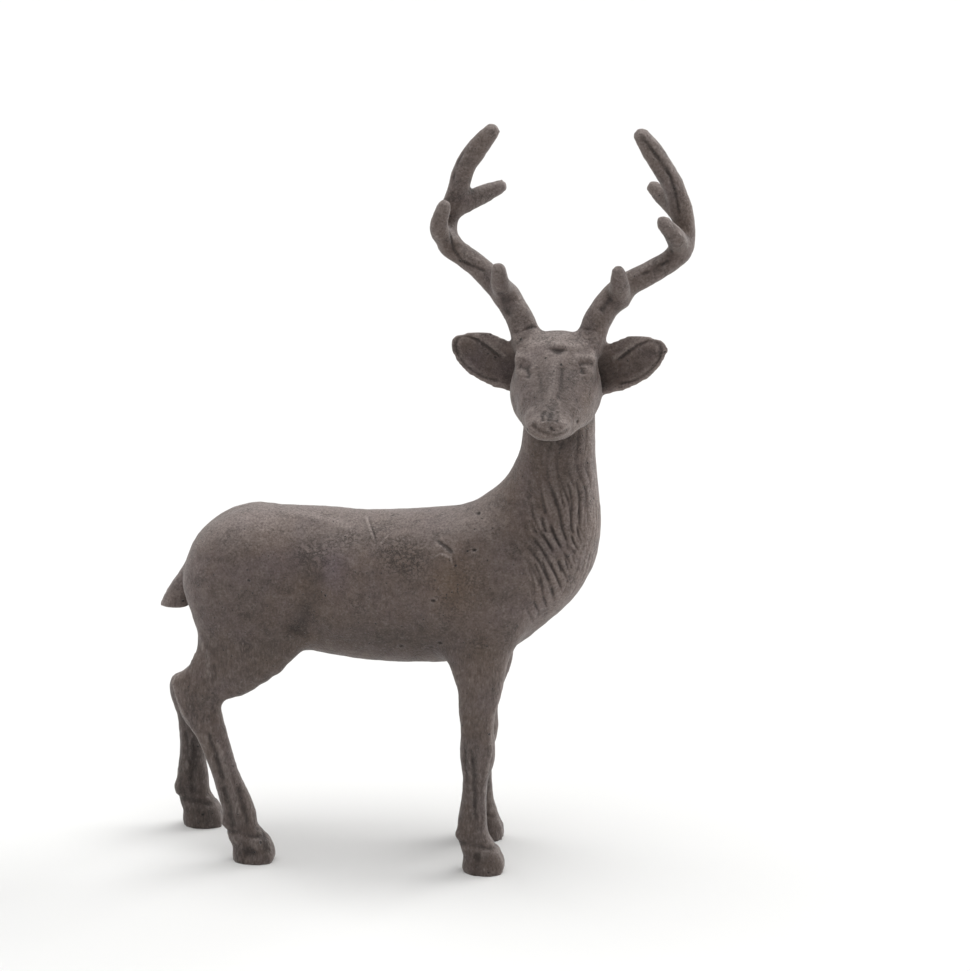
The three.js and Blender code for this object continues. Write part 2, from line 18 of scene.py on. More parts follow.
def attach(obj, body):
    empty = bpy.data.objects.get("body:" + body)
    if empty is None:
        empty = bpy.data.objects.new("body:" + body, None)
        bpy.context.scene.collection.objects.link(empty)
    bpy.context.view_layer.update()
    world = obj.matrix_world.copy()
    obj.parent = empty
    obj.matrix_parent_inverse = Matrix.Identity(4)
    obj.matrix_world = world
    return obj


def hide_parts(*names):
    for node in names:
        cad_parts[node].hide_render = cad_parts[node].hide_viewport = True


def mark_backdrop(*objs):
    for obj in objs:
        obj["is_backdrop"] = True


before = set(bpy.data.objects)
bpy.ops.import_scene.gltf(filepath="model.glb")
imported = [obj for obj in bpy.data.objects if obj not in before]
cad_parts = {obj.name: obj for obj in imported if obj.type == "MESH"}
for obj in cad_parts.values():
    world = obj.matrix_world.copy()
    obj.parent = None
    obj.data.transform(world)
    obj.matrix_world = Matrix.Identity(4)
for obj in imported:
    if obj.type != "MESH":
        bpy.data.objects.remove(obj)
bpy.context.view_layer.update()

# %% [markdown]
# The ruler for the carving
#
# Carving is easier in millimetres and from the figure's own middle. The solid was
# drawn that way, then enlarged a touch and moved so that its box is centred. These
# two functions go from the scene's metres to the drawing's millimetres and back.

# %% From metres to drawing millimetres and back
GROWTH = 320.0 / 319.0
DRAWING_SHIFT = np.array((28.92, 10.06, 0.0))


def to_drawing(metres):
    return (np.asarray(metres) * 1000.0 - DRAWING_SHIFT) / GROWTH


def to_metres(drawing):
    return (np.asarray(drawing) * GROWTH + DRAWING_SHIFT) / 1000.0


print("middle of the solid in the drawing:", to_drawing((0.0, 0.0, 0.16)).round(1))


# %% [markdown]
# Copy the solid
#
# The imported solid is loose triangles, and it must stay as it is. A copy is welded
# at its corners instead. Its facets are about four millimetres wide, far too coarse
# for hair or an eyelid, so a voxel remesh wraps it in an even net of small squares.

# %% Weld a copy and give it an even skin
SKIN_CELL = 0.0014


def welded_copy(node_name, piece_name):
    shell = bmesh.new()
    shell.from_mesh(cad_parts[node_name].data)
    bmesh.ops.remove_doubles(shell, verts=shell.verts, dist=1e-6)
    mesh = bpy.data.meshes.new(piece_name)
    shell.to_mesh(mesh)
    shell.free()
    piece = bpy.data.objects.new(piece_name, mesh)
    bpy.context.scene.collection.objects.link(piece)
    return piece


def apply_modifiers(piece):
    graph = bpy.context.evaluated_depsgraph_get()
    finished = bpy.data.meshes.new_from_object(piece.evaluated_get(graph))
    piece.modifiers.clear()
    piece.data = finished


stag = welded_copy("stag", "stag_casting")
skin = stag.modifiers.new("even_skin", "REMESH")
skin.mode = "VOXEL"
skin.voxel_size = SKIN_CELL
apply_modifiers(stag)
print("even skin:", len(stag.data.vertices), "corners")


# %% [markdown]
# Smooth without shrinking
#
# Plain smoothing pulls every corner towards its neighbours, and thin tines would
# waste away. Taubin's way takes one step in and a slightly longer step out, so the
# facets melt and the volume stays. It runs on whole arrays, which keeps it quick.

# %% Read, smooth and write the corners
STEP_IN = 0.5
STEP_OUT = -0.53


def corners_of(mesh):
    flat = np.empty(len(mesh.vertices) * 3, dtype=np.float32)
    mesh.vertices.foreach_get("co", flat)
    return flat.reshape(-1, 3).astype(float)


def put_corners(mesh, points):
    mesh.vertices.foreach_set("co", points.astype(np.float32).ravel())
    mesh.update()


def normals_of(mesh):
    flat = np.empty(len(mesh.vertices) * 3, dtype=np.float32)
    mesh.vertex_normals.foreach_get("vector", flat)
    return flat.reshape(-1, 3).astype(float)


def edges_of(mesh):
    flat = np.empty(len(mesh.edges) * 2, dtype=np.int32)
    mesh.edges.foreach_get("vertices", flat)
    return flat.reshape(-1, 2)


def neighbour_mean(values, edges):
    first, second = edges[:, 0], edges[:, 1]
    count = np.bincount(edges.ravel(), minlength=len(values))
    total = [
        np.bincount(first, weights=column[second], minlength=len(values))
        + np.bincount(second, weights=column[first], minlength=len(values))
        for column in values.T
    ]
    return np.array(total).T / np.maximum(count, 1)[:, None]


def smooth_skin(mesh, rounds, share):
    """Taubin smoothing. share is how much of each step a corner takes, from 0 to 1."""
    points, edges = corners_of(mesh), edges_of(mesh)
    for _ in range(rounds):
        for step in (STEP_IN, STEP_OUT):
            points += step * share[:, None] * (neighbour_mean(points, edges) - points)
    put_corners(mesh, points)


# %% [markdown]
# Where the figure is fine
#
# The trunk and legs are broad and can be smoothed hard, and so can the thin leaves of
# the ears. The head, antlers and hooves are small and keep more of their facets'
# crispness. The neck is smoothed hardest, because it gets new strands. This ramp,
# which rises softly from 0 to 1, says where one treatment ends and the next begins.

# %% Smooth the facets away
HEAD_X = 32.0
BODY_ROUNDS = 14
NECK_ROUNDS = 22
CRISPNESS = 0.6


def ramp(value, start, end):
    share = np.clip((value - start) / (end - start), 0.0, 1.0)
    return share * share * (3.0 - 2.0 * share)


def corners_in_drawing(piece):
    return to_drawing(corners_of(piece.data))


def ear_region(clay, bottom, top, out):
    """The corners between two heights and far enough out from the middle of the head."""
    x, _, z = clay.T
    return (z > bottom) & (z < top) & (np.abs(x - HEAD_X) > out)


clay = corners_in_drawing(stag)
height = clay[:, 2]
small_forms = ramp(height, 196.0, 206.0) * ~ear_region(clay, 205.0, 236.0, 20.0)
hoof_forms = 1.0 - ramp(height, 12.0, 20.0)
smooth_skin(stag.data, BODY_ROUNDS, 1.0 - CRISPNESS * np.maximum(small_forms, hoof_forms))
neck_forms = ramp(height, 104.0, 112.0) * (1.0 - small_forms) * ramp(clay[:, 0], -4.0, 8.0)
smooth_skin(stag.data, NECK_ROUNDS, neck_forms)
print("smoothed; highest point at", corners_in_drawing(stag)[:, 2].max().round(1), "mm")


# %% [markdown]
# Finer squares where the detail is
#
# Strands of hair are about four millimetres apart and an eyelid is narrower, so the
# squares are cut in two each way over the head, neck, antlers, hooves and the near
# side of each leg. They are cut once more over the face. A little smoothing after
# each cut takes out the kinks between the new squares and the old.

# %% Cut the squares smaller over the fine parts
FACE_MIDDLE = np.array((32.5, -31.0, 212.0))
FACE_REACH = 27.0
FACE_FADE = 4.0
FACE_BACK = -14.0
FINE_ROUNDS = 4
FACE_ROUNDS = 3
EAR_ROUNDS = 40
FINE_SHARE = 0.8


def refine(mesh, wanted):
    shell = bmesh.new()
    shell.from_mesh(mesh)
    marked = [e for e in shell.edges if wanted[e.verts[0].index] and wanted[e.verts[1].index]]
    bmesh.ops.subdivide_edges(shell, edges=marked, cuts=1, use_grid_fill=True)
    shell.to_mesh(mesh)
    shell.free()


def fine_region(clay):
    x, y, z = clay.T
    head = z > 194.0
    mane = (z > 112.0) & (x > 6.0)
    near_legs = (z < 84.0) & (y < -21.5)
    far_legs = (z < 84.0) & (y > 0.0) & (y < 21.0)
    hooves = z < 12.0
    return head | mane | near_legs | far_legs | hooves


def face_gap(clay):
    return np.linalg.norm(clay - FACE_MIDDLE, axis=1)


refine(stag.data, fine_region(corners_in_drawing(stag)))
clay = corners_in_drawing(stag)
smooth_skin(stag.data, FINE_ROUNDS, FINE_SHARE * fine_region(clay))
refine(stag.data, (face_gap(clay) < FACE_REACH) & (clay[:, 1] < FACE_BACK))
clay = corners_in_drawing(stag)
near_face = 1.0 - ramp(face_gap(clay), FACE_REACH - FACE_FADE, FACE_REACH)
smooth_skin(stag.data, FACE_ROUNDS, FINE_SHARE * near_face)
smooth_skin(stag.data, EAR_ROUNDS, 1.0 * ear_region(clay, 203.0, 238.0, 19.0))
print("refined:", len(stag.data.vertices), "corners,", len(stag.data.polygons), "faces")


# %% [markdown]
# Carving tools
#
# A sculptor draws a tool along a line or presses it in at a point. Here a tool
# measures how far each corner is from its line, and lifts or sinks it along its own
# normal by a soft hump of that distance. Noise makes the work look made by hand.

# %% The tools: a stroke, a dab and a wandering surface
def line_distance(points, line):
    """How far each point is from a bent line, and its place along it from 0 to 1."""
    line = np.asarray(line, dtype=float)
    lengths = np.linalg.norm(np.diff(line, axis=0), axis=1)
    nearest = np.full(len(points), 1e9)
    place = np.zeros(len(points))
    passed = 0.0
    for start, end, length in zip(line[:-1], line[1:], lengths):
        run = end - start
        share = np.clip(((points - start) @ run) / length**2, 0.0, 1.0)
        gap = np.linalg.norm(points - start - share[:, None] * run, axis=1)
        nearer = gap < nearest
        nearest = np.where(nearer, gap, nearest)
        place = np.where(nearer, (passed + share * length) / lengths.sum(), place)
        passed += length
    return nearest, place


def stroke(points, line, width, lift, fade=0.15):
    """A long soft ridge, or a groove where lift is negative, that fades at its ends."""
    gap, place = line_distance(points, line)
    ends = ramp(place, 0.0, fade) * (1.0 - ramp(place, 1.0 - fade, 1.0)) if fade else 1.0
    return lift * ends * np.exp(-((gap / width) ** 2))


def dab(points, centre, radii, lift):
    """A soft bump, or a dent where lift is negative."""
    gap = np.linalg.norm((points - np.asarray(centre)) / np.asarray(radii), axis=1)
    return lift * np.exp(-(gap**2))


def wander(points, size, seed):
    """Smooth noise from about -1 to 1, in lumps of the given size in millimetres."""
    away = Vector((seed * 17.3, seed * 5.1, seed * 29.7))
    return np.array([noise.noise(Vector(p) / size + away) for p in points])


trial = stroke(np.array(((5.0, 1.0, 0.0),)), [(0, 0, 0), (10, 0, 0)], 1.0, 1.0)
print("a stroke 1 mm wide and high lifts a corner 1 mm beside it by", trial.round(2), "mm")


# %% [markdown]
# Small marks of the casting
#
# The near flank has a few holes, two scratches and a faint curved mark. They are under
# a millimetre wide, so the squares round them are cut in two twice more. Each row is
# a name, the points of a line, a width, a lift and a tone, and is carved further down.

# %% Cut the squares smaller round the small marks
HOLES = [
    (-17.9, -29.2, 121.4),
    (-32.5, -21.9, 99.1),
    (-15.7, -25, 102),
    (-1, -25.7, 143.2),
    (-1, -13.7, 156.2),
]
SMALL_MARKS = [
    ("pale scratch", [(-50.9, -5, 152.5), (-48.4, -12.2, 149.9), (-44, -20.6, 143.4)], 0.55, 0.3, -1.2),
    ("side of the scratch",
     [(-49.9, -5.6, 152.5), (-47.4, -12.4, 149.9), (-43, -20.7, 143.4)], 0.5, -0.12, 0.2),
    ("pale fork", [(-38.6, -17.5, 146.4), (-40.4, -19.6, 144.6), (-42, -21, 142.8)], 0.5, 0.2, -0.8),
    ("dark scratch", [(-18.4, -20.4, 146.2), (-13.6, -23.5, 143.9), (-9.8, -25.8, 141.5)], 0.7, -0.45, 2.0),
    ("curved mark",
     [(-20, -24.8, 138), (-15.5, -24.8, 140.8), (-10.8, -26.2, 139.6), (-9.3, -27.3, 135.5)],
     0.5, 0.2, -0.6),
]
MARK_REACH = 2.4
MARK_CUTS = 2


def near_marks(clay):
    holes = [np.linalg.norm(clay - hole, axis=1) for hole in HOLES]
    lines = [line_distance(clay, line)[0] for _, line, _, _, _ in SMALL_MARKS]
    return np.min(holes + lines, axis=0) < MARK_REACH


for _ in range(MARK_CUTS):
    refine(stag.data, near_marks(corners_in_drawing(stag)))
clay = corners_in_drawing(stag)
print("with small marks:", len(clay), "corners")

# %% [markdown]
# Carve and paint at once
#
# Every row of the tables below gives a height to carve and a tone to paint, and both
# are gathered here for each corner. The tone is painted shade in grooves and holes and
# painted highlight on ridges and rims; on the small marks of the flank it is their own
# darker or paler colour. A hand doesn't press evenly, so narrow lines come and go,
# except on the face, where a broken line would spoil the features.

# %% Carve and paint with the tools
BROAD_TOOL = 2.5
STEADY_REACH = 32.0

lift = np.zeros(len(clay))
# Painted shade is kept above 0 and painted highlight below 0, with the marks' own colour on the flank.
painted_shading_and_wear = np.zeros(len(clay))
uneven_hand = np.clip(0.85 + 1.1 * wander(clay, 3.6, 9), 0.25, 1.4)
uneven_hand[face_gap(clay) < STEADY_REACH] = 1.0


def carve_lines(rows, chosen):
    """Rows of name, line, width, lift and tone. Tone above 0 is painted shade and below 0 painted
    highlight, except on the small marks of the flank, where it is their own colour.
    """
    for _, line, width, height, tone in rows:
        hump = stroke(clay[chosen], line, width, 1.0)
        if width < BROAD_TOOL:
            hump *= uneven_hand[chosen]
        lift[chosen] += height * hump
        painted_shading_and_wear[chosen] += tone * hump


def press_dabs(rows, chosen):
    """Rows of name, centre, radii, lift and tone. Tone above 0 is painted shade and below 0 painted
    highlight.
    """
    for _, centre, radii, height, tone in rows:
        hump = dab(clay[chosen], centre, radii, 1.0)
        lift[chosen] += height * hump
        painted_shading_and_wear[chosen] += tone * hump


print("narrow lines are", uneven_hand.min(), "to", uneven_hand.max(), "times as deep as their rows say")

# %% [markdown]
# The mane
#
# Strands of hair run down the neck and sweep forward to the chest. Two sets of
# narrow grooves part them. They cross at a small angle and come and go, so the
# ridges between them are long lenses that fork and meet. Round the front a third set
# of fine shallow grooves follows the edge of the chest, which is painted pale as a rim
# highlight.

# %% Carve the mane
STRAND_SPACING = 4.3
STRAND_DEPTH = 1.0
FRONT_SPACING = 2.4
FRONT_DEPTH = 0.2
FRONT_RIM_HIGHLIGHT = 0.5
GROOVE_SHARE = 0.17
RIDGE_SHARE = 0.35
CROSSING_CLOSER = 0.8
CROSSING_LEAN = 0.16
HIGH_CALM = 0.78
AXIS_TOP = 190.0
AXIS_BEND = 0.0049


def neck_place(p):
    """How much of the mane is at each point, how far round the neck, and across the flow."""
    x, y, z = p.T
    # The middle of the neck moves back as it goes down, and turn is 0 at the very front.
    below = np.maximum(AXIS_TOP - z, 0.0)
    turn = np.arctan2(np.abs(y), x - HEAD_X + AXIS_BEND * below**2)
    # The mane reaches further round the neck higher up.
    back_edge = 0.85 + 0.026 * np.clip(z - 118.0, 0.0, 42.0)
    share = ramp(z, 106.0, 118.0) * (1.0 - ramp(z, 192.0, 202.0))
    share *= 1.0 - ramp(turn, back_edge - 0.3, back_edge + 0.3)
    # Strands sweep forward low on the neck, and above 160 mm they hang straight.
    lean = z - 12.0 * np.log1p(np.exp((z - 160.0) / 12.0))
    across = 0.6 * np.abs(y) - 0.8 * x - 0.58 * lean + 0.9 * np.sin(z * 0.2)
    return share, turn, across


def grooves(across, spacing):
    """1 along the middle of each groove, 0 on the ridges between."""
    phase = across / spacing
    return np.exp(-(((phase - np.round(phase)) / GROOVE_SHARE) ** 2))


def mane_lift(p):
    """What the mane adds to the lift, and the painted rim highlight along its front."""
    share, turn, across = neck_place(p)
    flow = across + 1.3 * wander(p, 15.0, 1)
    first = grooves(flow, STRAND_SPACING) * ramp(wander(p, 10.0, 2), -0.45, 0.0)
    crossing = flow + CROSSING_LEAN * p[:, 2]
    second = grooves(crossing, CROSSING_CLOSER * STRAND_SPACING)
    second *= ramp(wander(p, 9.0, 6), -0.15, 0.2)
    side = ramp(turn, 0.45, 0.85)
    high = ramp(p[:, 2], 150.0, 182.0)
    both = np.maximum(first, second)
    deep = STRAND_DEPTH * side * (1.0 - HIGH_CALM * high) * (RIDGE_SHARE - both)
    along_front = np.abs(p[:, 1]) + 2.4 * wander(p, 16.0, 7)
    combed = grooves(along_front, FRONT_SPACING) * ramp(wander(p, 8.0, 10), -0.3, 0.15)
    front = (1.0 - side) * FRONT_DEPTH * (RIDGE_SHARE - combed)
    # The front of the chest is painted paler: a painted rim highlight.
    pale_wear_and_highlight = share * (1.0 - side) * FRONT_RIM_HIGHLIGHT
    return share * (deep + front), pale_wear_and_highlight


mane, pale_wear_and_highlight = mane_lift(clay)
lift += mane
painted_shading_and_wear -= pale_wear_and_highlight
print("mane: lifts of", lift.min().round(2), "to", lift.max().round(2), "mm")

# %% [markdown]
# The face
#
# It is a broad shield with a flat crown, and the casting is soft: lids and brows are
# low rises, not lines. Arched brows run down into a long ridge along the nose, with a
# valley on each side. Each row is one stroke of the tool or one dab, with its points,
# width and lift in millimetres, and its tone: above 0 it is painted shade, and below 0
# painted highlight; the crown is painted pale as light from above. Photo left and
# right are the viewer's.

# %% Carve the face
FACE_STROKES = [
    ("edge of the crown",
     [(17, -16, 229), (27.6, -19.2, 229.8), (37, -19.2, 229.8), (48, -15, 229.6)], 2.2, 0.45, -0.3),
    ("brow, photo left",
     [(15, -19, 224), (20.2, -22.5, 225.4), (23.4, -25.2, 223.4), (25, -28, 220.6)], 1.8, 0.4, 0.0),
    ("brow, photo right",
     [(40.6, -25.4, 222.6), (42, -22.4, 225.8), (46, -21.4, 225.4), (49.4, -18.6, 224)], 1.8, 0.4, 0.0),
    ("socket, photo left",
     [(16.8, -23, 221.4), (20.6, -26, 221), (22.2, -28, 219), (21.4, -28.8, 216.6)], 1.4, -0.55, 0.15),
    ("socket, photo right", [(42, -25, 222.6), (44.8, -23.6, 223.4), (48.7, -21.4, 222.8)], 1.3, -0.4, 0.0),
    ("inner eye, photo right", [(44, -24.8, 222), (44.2, -26.2, 219)], 1.6, -0.35, 0.1),
    ("nose ridge",
     [(32.4, -23.4, 226.8), (32.6, -27, 224), (32.6, -36, 215), (32, -42.8, 209.2)], 2.2, 0.55, 0.0),
    ("valley, photo right",
     [(36, -26.8, 223.5), (36.6, -34.5, 215.4), (36.2, -39.6, 210.1)], 1.8, -0.5, 0.0),
    ("valley, photo left", [(26, -28.2, 221.4), (28, -35.1, 214.8), (29.2, -41, 209.8)], 2.0, -0.35, 0.0),
    ("nose edge, photo left", [(30.4, -44, 208.2), (30, -47, 206), (30.6, -49.4, 203.4)], 1.1, -0.45, 0.35),
    ("nose edge, photo right", [(36, -43, 208), (36.8, -46.4, 205.6), (36, -49, 203)], 1.1, -0.35, 0.3),
    ("mouth",
     [(24.6, -46.8, 203), (28, -49.6, 201), (34.5, -50, 197.6), (39, -47.6, 198.4), (42, -43.6, 200)],
     1.3, -0.5, 0.22),
]
FACE_DABS = [
    ("eye, photo left", (18, -25, 219.2), (2.6, 2.4, 2.0), 0.45, 0.0),
    ("eye, photo right", (47.4, -24, 220.4), (2.6, 2.4, 2.0), 0.45, 0.0),
    ("notch under the crown", (33.6, -21.4, 228.6), (3.6, 2.0, 1.0), -1.3, 0.9),
    ("foot of the notch", (33.4, -22.6, 227.6), (2.2, 2.0, 1.0), -0.8, 0.4),
    ("nose pad", (33.4, -46.6, 206.6), (1.7, 3, 3.2), -0.4, 0.35),
    ("cheek, photo left", (24, -41, 206.4), (2.8, 3.2, 4.0), 0.7, 0.0),
    ("cheek, photo right", (42.4, -37, 207.4), (3.4, 3.4, 4.4), 0.45, 0.0),
    ("side of the jaw, photo left", (14.6, -25.5, 205.4), (6, 7, 6), -1.7, 0.05),
    ("side of the jaw, photo right", (51.6, -20.6, 205.4), (6, 7, 6), -1.5, 0.05),
    ("pit under the nose", (34.4, -50.4, 201), (0.9, 0.9, 0.9), -0.6, 1.2),
    # Painted light from above: the crown is painted paler.
    ("crown", (32, -14, 232), (17, 7, 3.6), 0.0, -1.7),
    ("pit in the cheek", (43.6, -37, 201.5), (0.9, 0.9, 0.8), -0.8, 0.6),
]

CARVED_REACH = 34.0
CARVED_BACK = -10.0

on_face = np.flatnonzero((face_gap(clay) < CARVED_REACH) & (clay[:, 1] < CARVED_BACK))
carve_lines(FACE_STROKES, on_face)
press_dabs(FACE_DABS, on_face)
print("face:", len(FACE_STROKES), "strokes and", len(FACE_DABS), "dabs on", len(on_face), "corners")

# %% [markdown]
# Antlers and ears
#
# The antlers are angular, as if whittled: a top face painted lighter as lit and a
# front face painted darker as shaded meet along a thin groove, which is painted dark as
# shade, and a groove rings each antler where it leaves the head. The ears are leaves
# with a thin raised rim round a hollow; the rim is painted pale as a highlight and the
# line inside it dark as shade.

# %% Groove the antlers
# Tones: the top faces and the wedge edge are painted highlight, the grooves and the face under the wedge
# painted shade.
ANTLER_LINES = [
    ("photo left, low",
     [(-14.9, -2.1, 275.5), (-13.9, 0.2, 269.7), (-13.2, 1, 265.4), (-9.7, 0.2, 261)], 0.65, -0.7, 0.7),
    ("photo left, lower",
     [(-11, 0.6, 262.4), (-9.7, 0.2, 261), (-4, -1.9, 258.9), (1.4, -3.8, 257.2)], 0.65, -0.7, 0.9),
    ("photo left, top face", [(-11.6, 1.6, 266.6), (-7.5, 1, 263.2), (-2, -1.4, 261)], 1.3, 0.35, -0.7),
    ("photo left, high", [(-6.4, 0.8, 311.6), (-11.6, 2.1, 303), (-14.8, 3.6, 292.3)], 0.8, -0.4, 0.5),
    ("photo left, fork", [(-15.6, -9.6, 288), (-15, -6, 281), (-14.9, -2.1, 275.5)], 0.8, -0.5, 0.6),
    ("photo left, first tine",
     [(7.8, -14.2, 251.5), (9.4, -10, 245.4), (12.2, -12, 239.5)], 1.6, -0.4, 0.5),
    ("photo left, ring",
     [(12.5, -11.2, 233), (15.8, -14.3, 234.5), (19.5, -13.9, 235.6), (23.5, -8.8, 235.8)],
     0.7, -0.6, 0.45),
    ("photo right, high",
     [(64.6, -3.6, 315.3), (68.8, -3.6, 310.4), (72.1, -2.7, 305.9), (77.3, -0.3, 297.8)], 0.7, -0.7, 0.9),
    ("photo right, bend",
     [(74.9, -1.6, 302.5), (77.3, -0.3, 297.8), (79.3, 1.8, 290.1), (81, 3.5, 280.9)], 0.65, -0.7, 0.8),
    ("photo right, wedge",
     [(76, -10.9, 281.1), (78.7, -9.4, 278), (81.9, -7, 274.4), (85.1, 1.2, 268.7)], 0.9, 0.6, -0.8),
    ("photo right, under the wedge",
     [(74.6, -9.5, 275), (76.6, -5, 269.6), (78.4, 0.7, 265.4)], 1.0, -0.6, 0.8),
    ("photo right, low",
     [(63, -4.6, 256.2), (67.3, -2.9, 258.1), (73.3, -0.7, 260.8), (77.7, 0.5, 263.7)], 0.65, -0.7, 0.85),
    ("photo right, top face",
     [(64.5, -2.2, 259.6), (67.1, -1.3, 260.8), (73.1, 1.3, 264.3)], 1.3, 0.35, -0.7),
    ("photo right, first tine",
     [(49.7, -12.3, 242.9), (52, -10.6, 246.5), (54.6, -10.2, 248.5)], 1.2, -0.5, 0.7),
    ("photo right, ring",
     [(40.5, -9, 236), (44.5, -13.6, 236), (48, -13.6, 235.4), (51, -10.8, 234)], 0.7, -0.5, 0.2),
]
ANTLER_BOTTOM = 230.0
WHITTLED_BOTTOM = 234.0
WHITTLED_DEPTH = 0.3
CHIP_SIZE = 6.5

on_antlers = np.flatnonzero(clay[:, 2] > ANTLER_BOTTOM)
carve_lines(ANTLER_LINES, on_antlers)
whittled = np.flatnonzero(clay[:, 2] > WHITTLED_BOTTOM)
lift[whittled] += WHITTLED_DEPTH * (np.abs(wander(clay[whittled], CHIP_SIZE, 3)) - 0.3)
print("antlers:", len(ANTLER_LINES), "lines on", len(on_antlers), "corners")

# %% Raise the rims of the ears
EAR_LOWER_EDGE = [(8, -8, 211.6), (5.4, -8.4, 212.4), (1.3, -8.9, 213.2), (-2.9, -9.7, 215.4)]
EAR_TIP_BELOW = [(-7, -9.9, 218.5), (-10, -10.1, 222.5), (-11.3, -9.9, 226.7)]
EAR_TIP_ABOVE = [(-10.6, -9.8, 229.6), (-8.6, -9.4, 230.9), (-5.5, -9.2, 230.9)]
EAR_FOLD = [(-1.4, -8.3, 229.2), (2.7, -7.2, 225.9), (6, -6.5, 223.1), (8.8, -5.8, 221.4)]
EAR_MIDDLE = np.array((-1.0, -8.4, 221.8))
RIM_OUT = 1.19
RIM_LIFT = 0.15
RIM_HIGHLIGHT = 1.8
EDGE_DEPTH = 0.6
EDGE_SHADE = 0.85


def mirrored(line):
    """The other ear is the same leaf, turned over about the middle of the head."""
    return line * (-1.0, 1.0, 1.0) + (2.0 * HEAD_X, 0.0, 0.0)


hollow_edge = np.array(EAR_LOWER_EDGE + EAR_TIP_BELOW + EAR_TIP_ABOVE + EAR_FOLD, dtype=float)
ear_rim = EAR_MIDDLE + (hollow_edge - EAR_MIDDLE) * RIM_OUT
on_ears = np.flatnonzero(ear_region(clay, 200.0, 240.0, 17.0))
# The rim is painted pale as a highlight, and the line inside it dark as shade.
for side in (np.array, mirrored):
    edge = stroke(clay[on_ears], side(hollow_edge), 0.7, 1.0, 0.05)
    rim = stroke(clay[on_ears], side(ear_rim), 1.0, 1.0, 0.05)
    lift[on_ears] += RIM_LIFT * rim - EDGE_DEPTH * edge
    painted_shading_and_wear[on_ears] += EDGE_SHADE * edge - RIM_HIGHLIGHT * rim
print("ears:", len(on_ears), "corners")

# %% [markdown]
# Trunk and legs
#
# Muscles show as soft rises with creases between them. The cannon bones carry
# lengthwise grooves, and each hoof is parted from its leg by a worn step. Grooves,
# creases, the notches of the hooves and the holes are painted dark as shade, and ridges,
# edges and the sides of the hooves pale as highlight.

# %% Carve the trunk and legs
LEG_LINES = [
    ("near hind, groove",
     [(-116.2, -27, 60), (-114.6, -26.8, 53), (-111.4, -26.5, 41.8), (-107.3, -27, 21)], 1.1, -0.9, 0.75),
    ("near hind, low groove",
     [(-110, -26.6, 36), (-108.9, -26.8, 30), (-107, -27, 20), (-106.5, -27, 15)], 1.6, -0.8, 0.5),
    ("near hind, bone",
     [(-113.4, -26.2, 58), (-109.4, -26, 44), (-106.3, -26.4, 33), (-102.4, -27, 17)], 1.2, 0.7, -0.3),
    ("near hind, front groove", [(-104, -25.6, 36), (-101.4, -26, 25), (-99.4, -26, 16)], 1.0, -0.5, 0.4),
    ("near hind, back edge",
     [(-133, -24, 84), (-129.4, -25.8, 72.4), (-124.6, -25.8, 62.3), (-119, -24.6, 46)], 1.0, 0.5, -0.8),
    ("near hind, string above the hock",
     [(-120, -22, 104), (-118, -25.3, 96.7), (-115.6, -27.7, 90.5), (-114.6, -28.5, 82)], 1.8, 0.5, -0.5),
    ("far hind, groove",
     [(-133.2, 16.7, 44), (-132.8, 17.1, 33.6), (-134.4, 16.3, 26.8), (-133.6, 15.8, 15)], 1.2, -1.0, 0.9),
    ("far hind, back groove", [(-136.8, 16.7, 46), (-136, 16.5, 38), (-135.5, 16.4, 29)], 0.9, -0.6, 0.6),
    ("far hind, bone", [(-134.9, 16.6, 41), (-135.8, 16.4, 33), (-136.9, 16.3, 25)], 0.9, 0.5, -0.3),
    ("far hind, far side", [(-134.5, 26.5, 60), (-135, 26.4, 42), (-135.6, 26.4, 26)], 1.6, -1.0, 0.3),
    ("near fore, ridge",
     [(9.4, -23.6, 80), (7, -25, 66), (4.8, -26, 48), (3.4, -23.8, 28), (3.6, -25.7, 15.5)],
     0.9, 0.7, -1.0),
    ("near fore, groove",
     [(-1.8, -28.5, 58), (-0.7, -26.9, 42.6), (-0.6, -26.5, 33.5), (-0.1, -26.8, 22)], 0.9, -0.8, 0.9),
    ("near fore, back groove", [(-4.9, -27.3, 57), (-4.7, -27.3, 52.8), (-4.4, -25.6, 40)], 0.9, -0.5, 0.6),
    ("far fore, far side",
     [(-6.4, 28, 80), (-6.6, 27, 58), (-7.6, 26, 42), (-7.8, 25.4, 26)], 1.6, -0.9, 0.3),
    ("near hind hoof, toe", [(-95, -22.8, 14), (-92.6, -25, 10), (-90.6, -26.6, 5)], 1.8, -0.5, 0.7),
]
BODY_LINES = [
    ("fold of the thigh",
     [(-80, -24, 101), (-74.4, -25.2, 111), (-69.6, -26.9, 120.6), (-67.5, -25.6, 134)], 5.0, -1.3, 0.22),
    ("crease of the shoulder",
     [(-4, -26, 104), (-9, -28, 120), (-6, -27, 138), (4, -24, 150)], 4.6, -0.6, 0.0),
    ("ledge of the croup",
     [(-90, -8, 153), (-78.6, -8, 152.3), (-61.2, -12.6, 149.6), (-52.4, -16.3, 147.3)], 2.6, 0.5, -0.3),
]
# Notches are painted dark as shade, and the pale sides and toes are painted highlight.
HOOF_DABS = [
    ("near hind, notch", (-98.5, -28.4, 6), (2.6, 3, 1.8), -1.2, 1.2),
    ("near hind, pale side", (-104.7, -27.4, 10.4), (2.2, 3, 2.2), 0.4, -0.9),
    ("near hind, pale toe", (-95.5, -27.7, 9), (1.8, 3, 2.4), 0.4, -0.8),
    ("near fore, notch", (0.5, -28, 8.5), (1.5, 3, 1.8), -0.9, 1.2),
    ("near fore, pale side", (4.2, -27.9, 10), (1.4, 3, 2), 0.3, -0.7),
    ("far hind, dewclaw", (-140.6, 17, 19), (2.4, 4, 2.6), 0.9, -0.2),
]
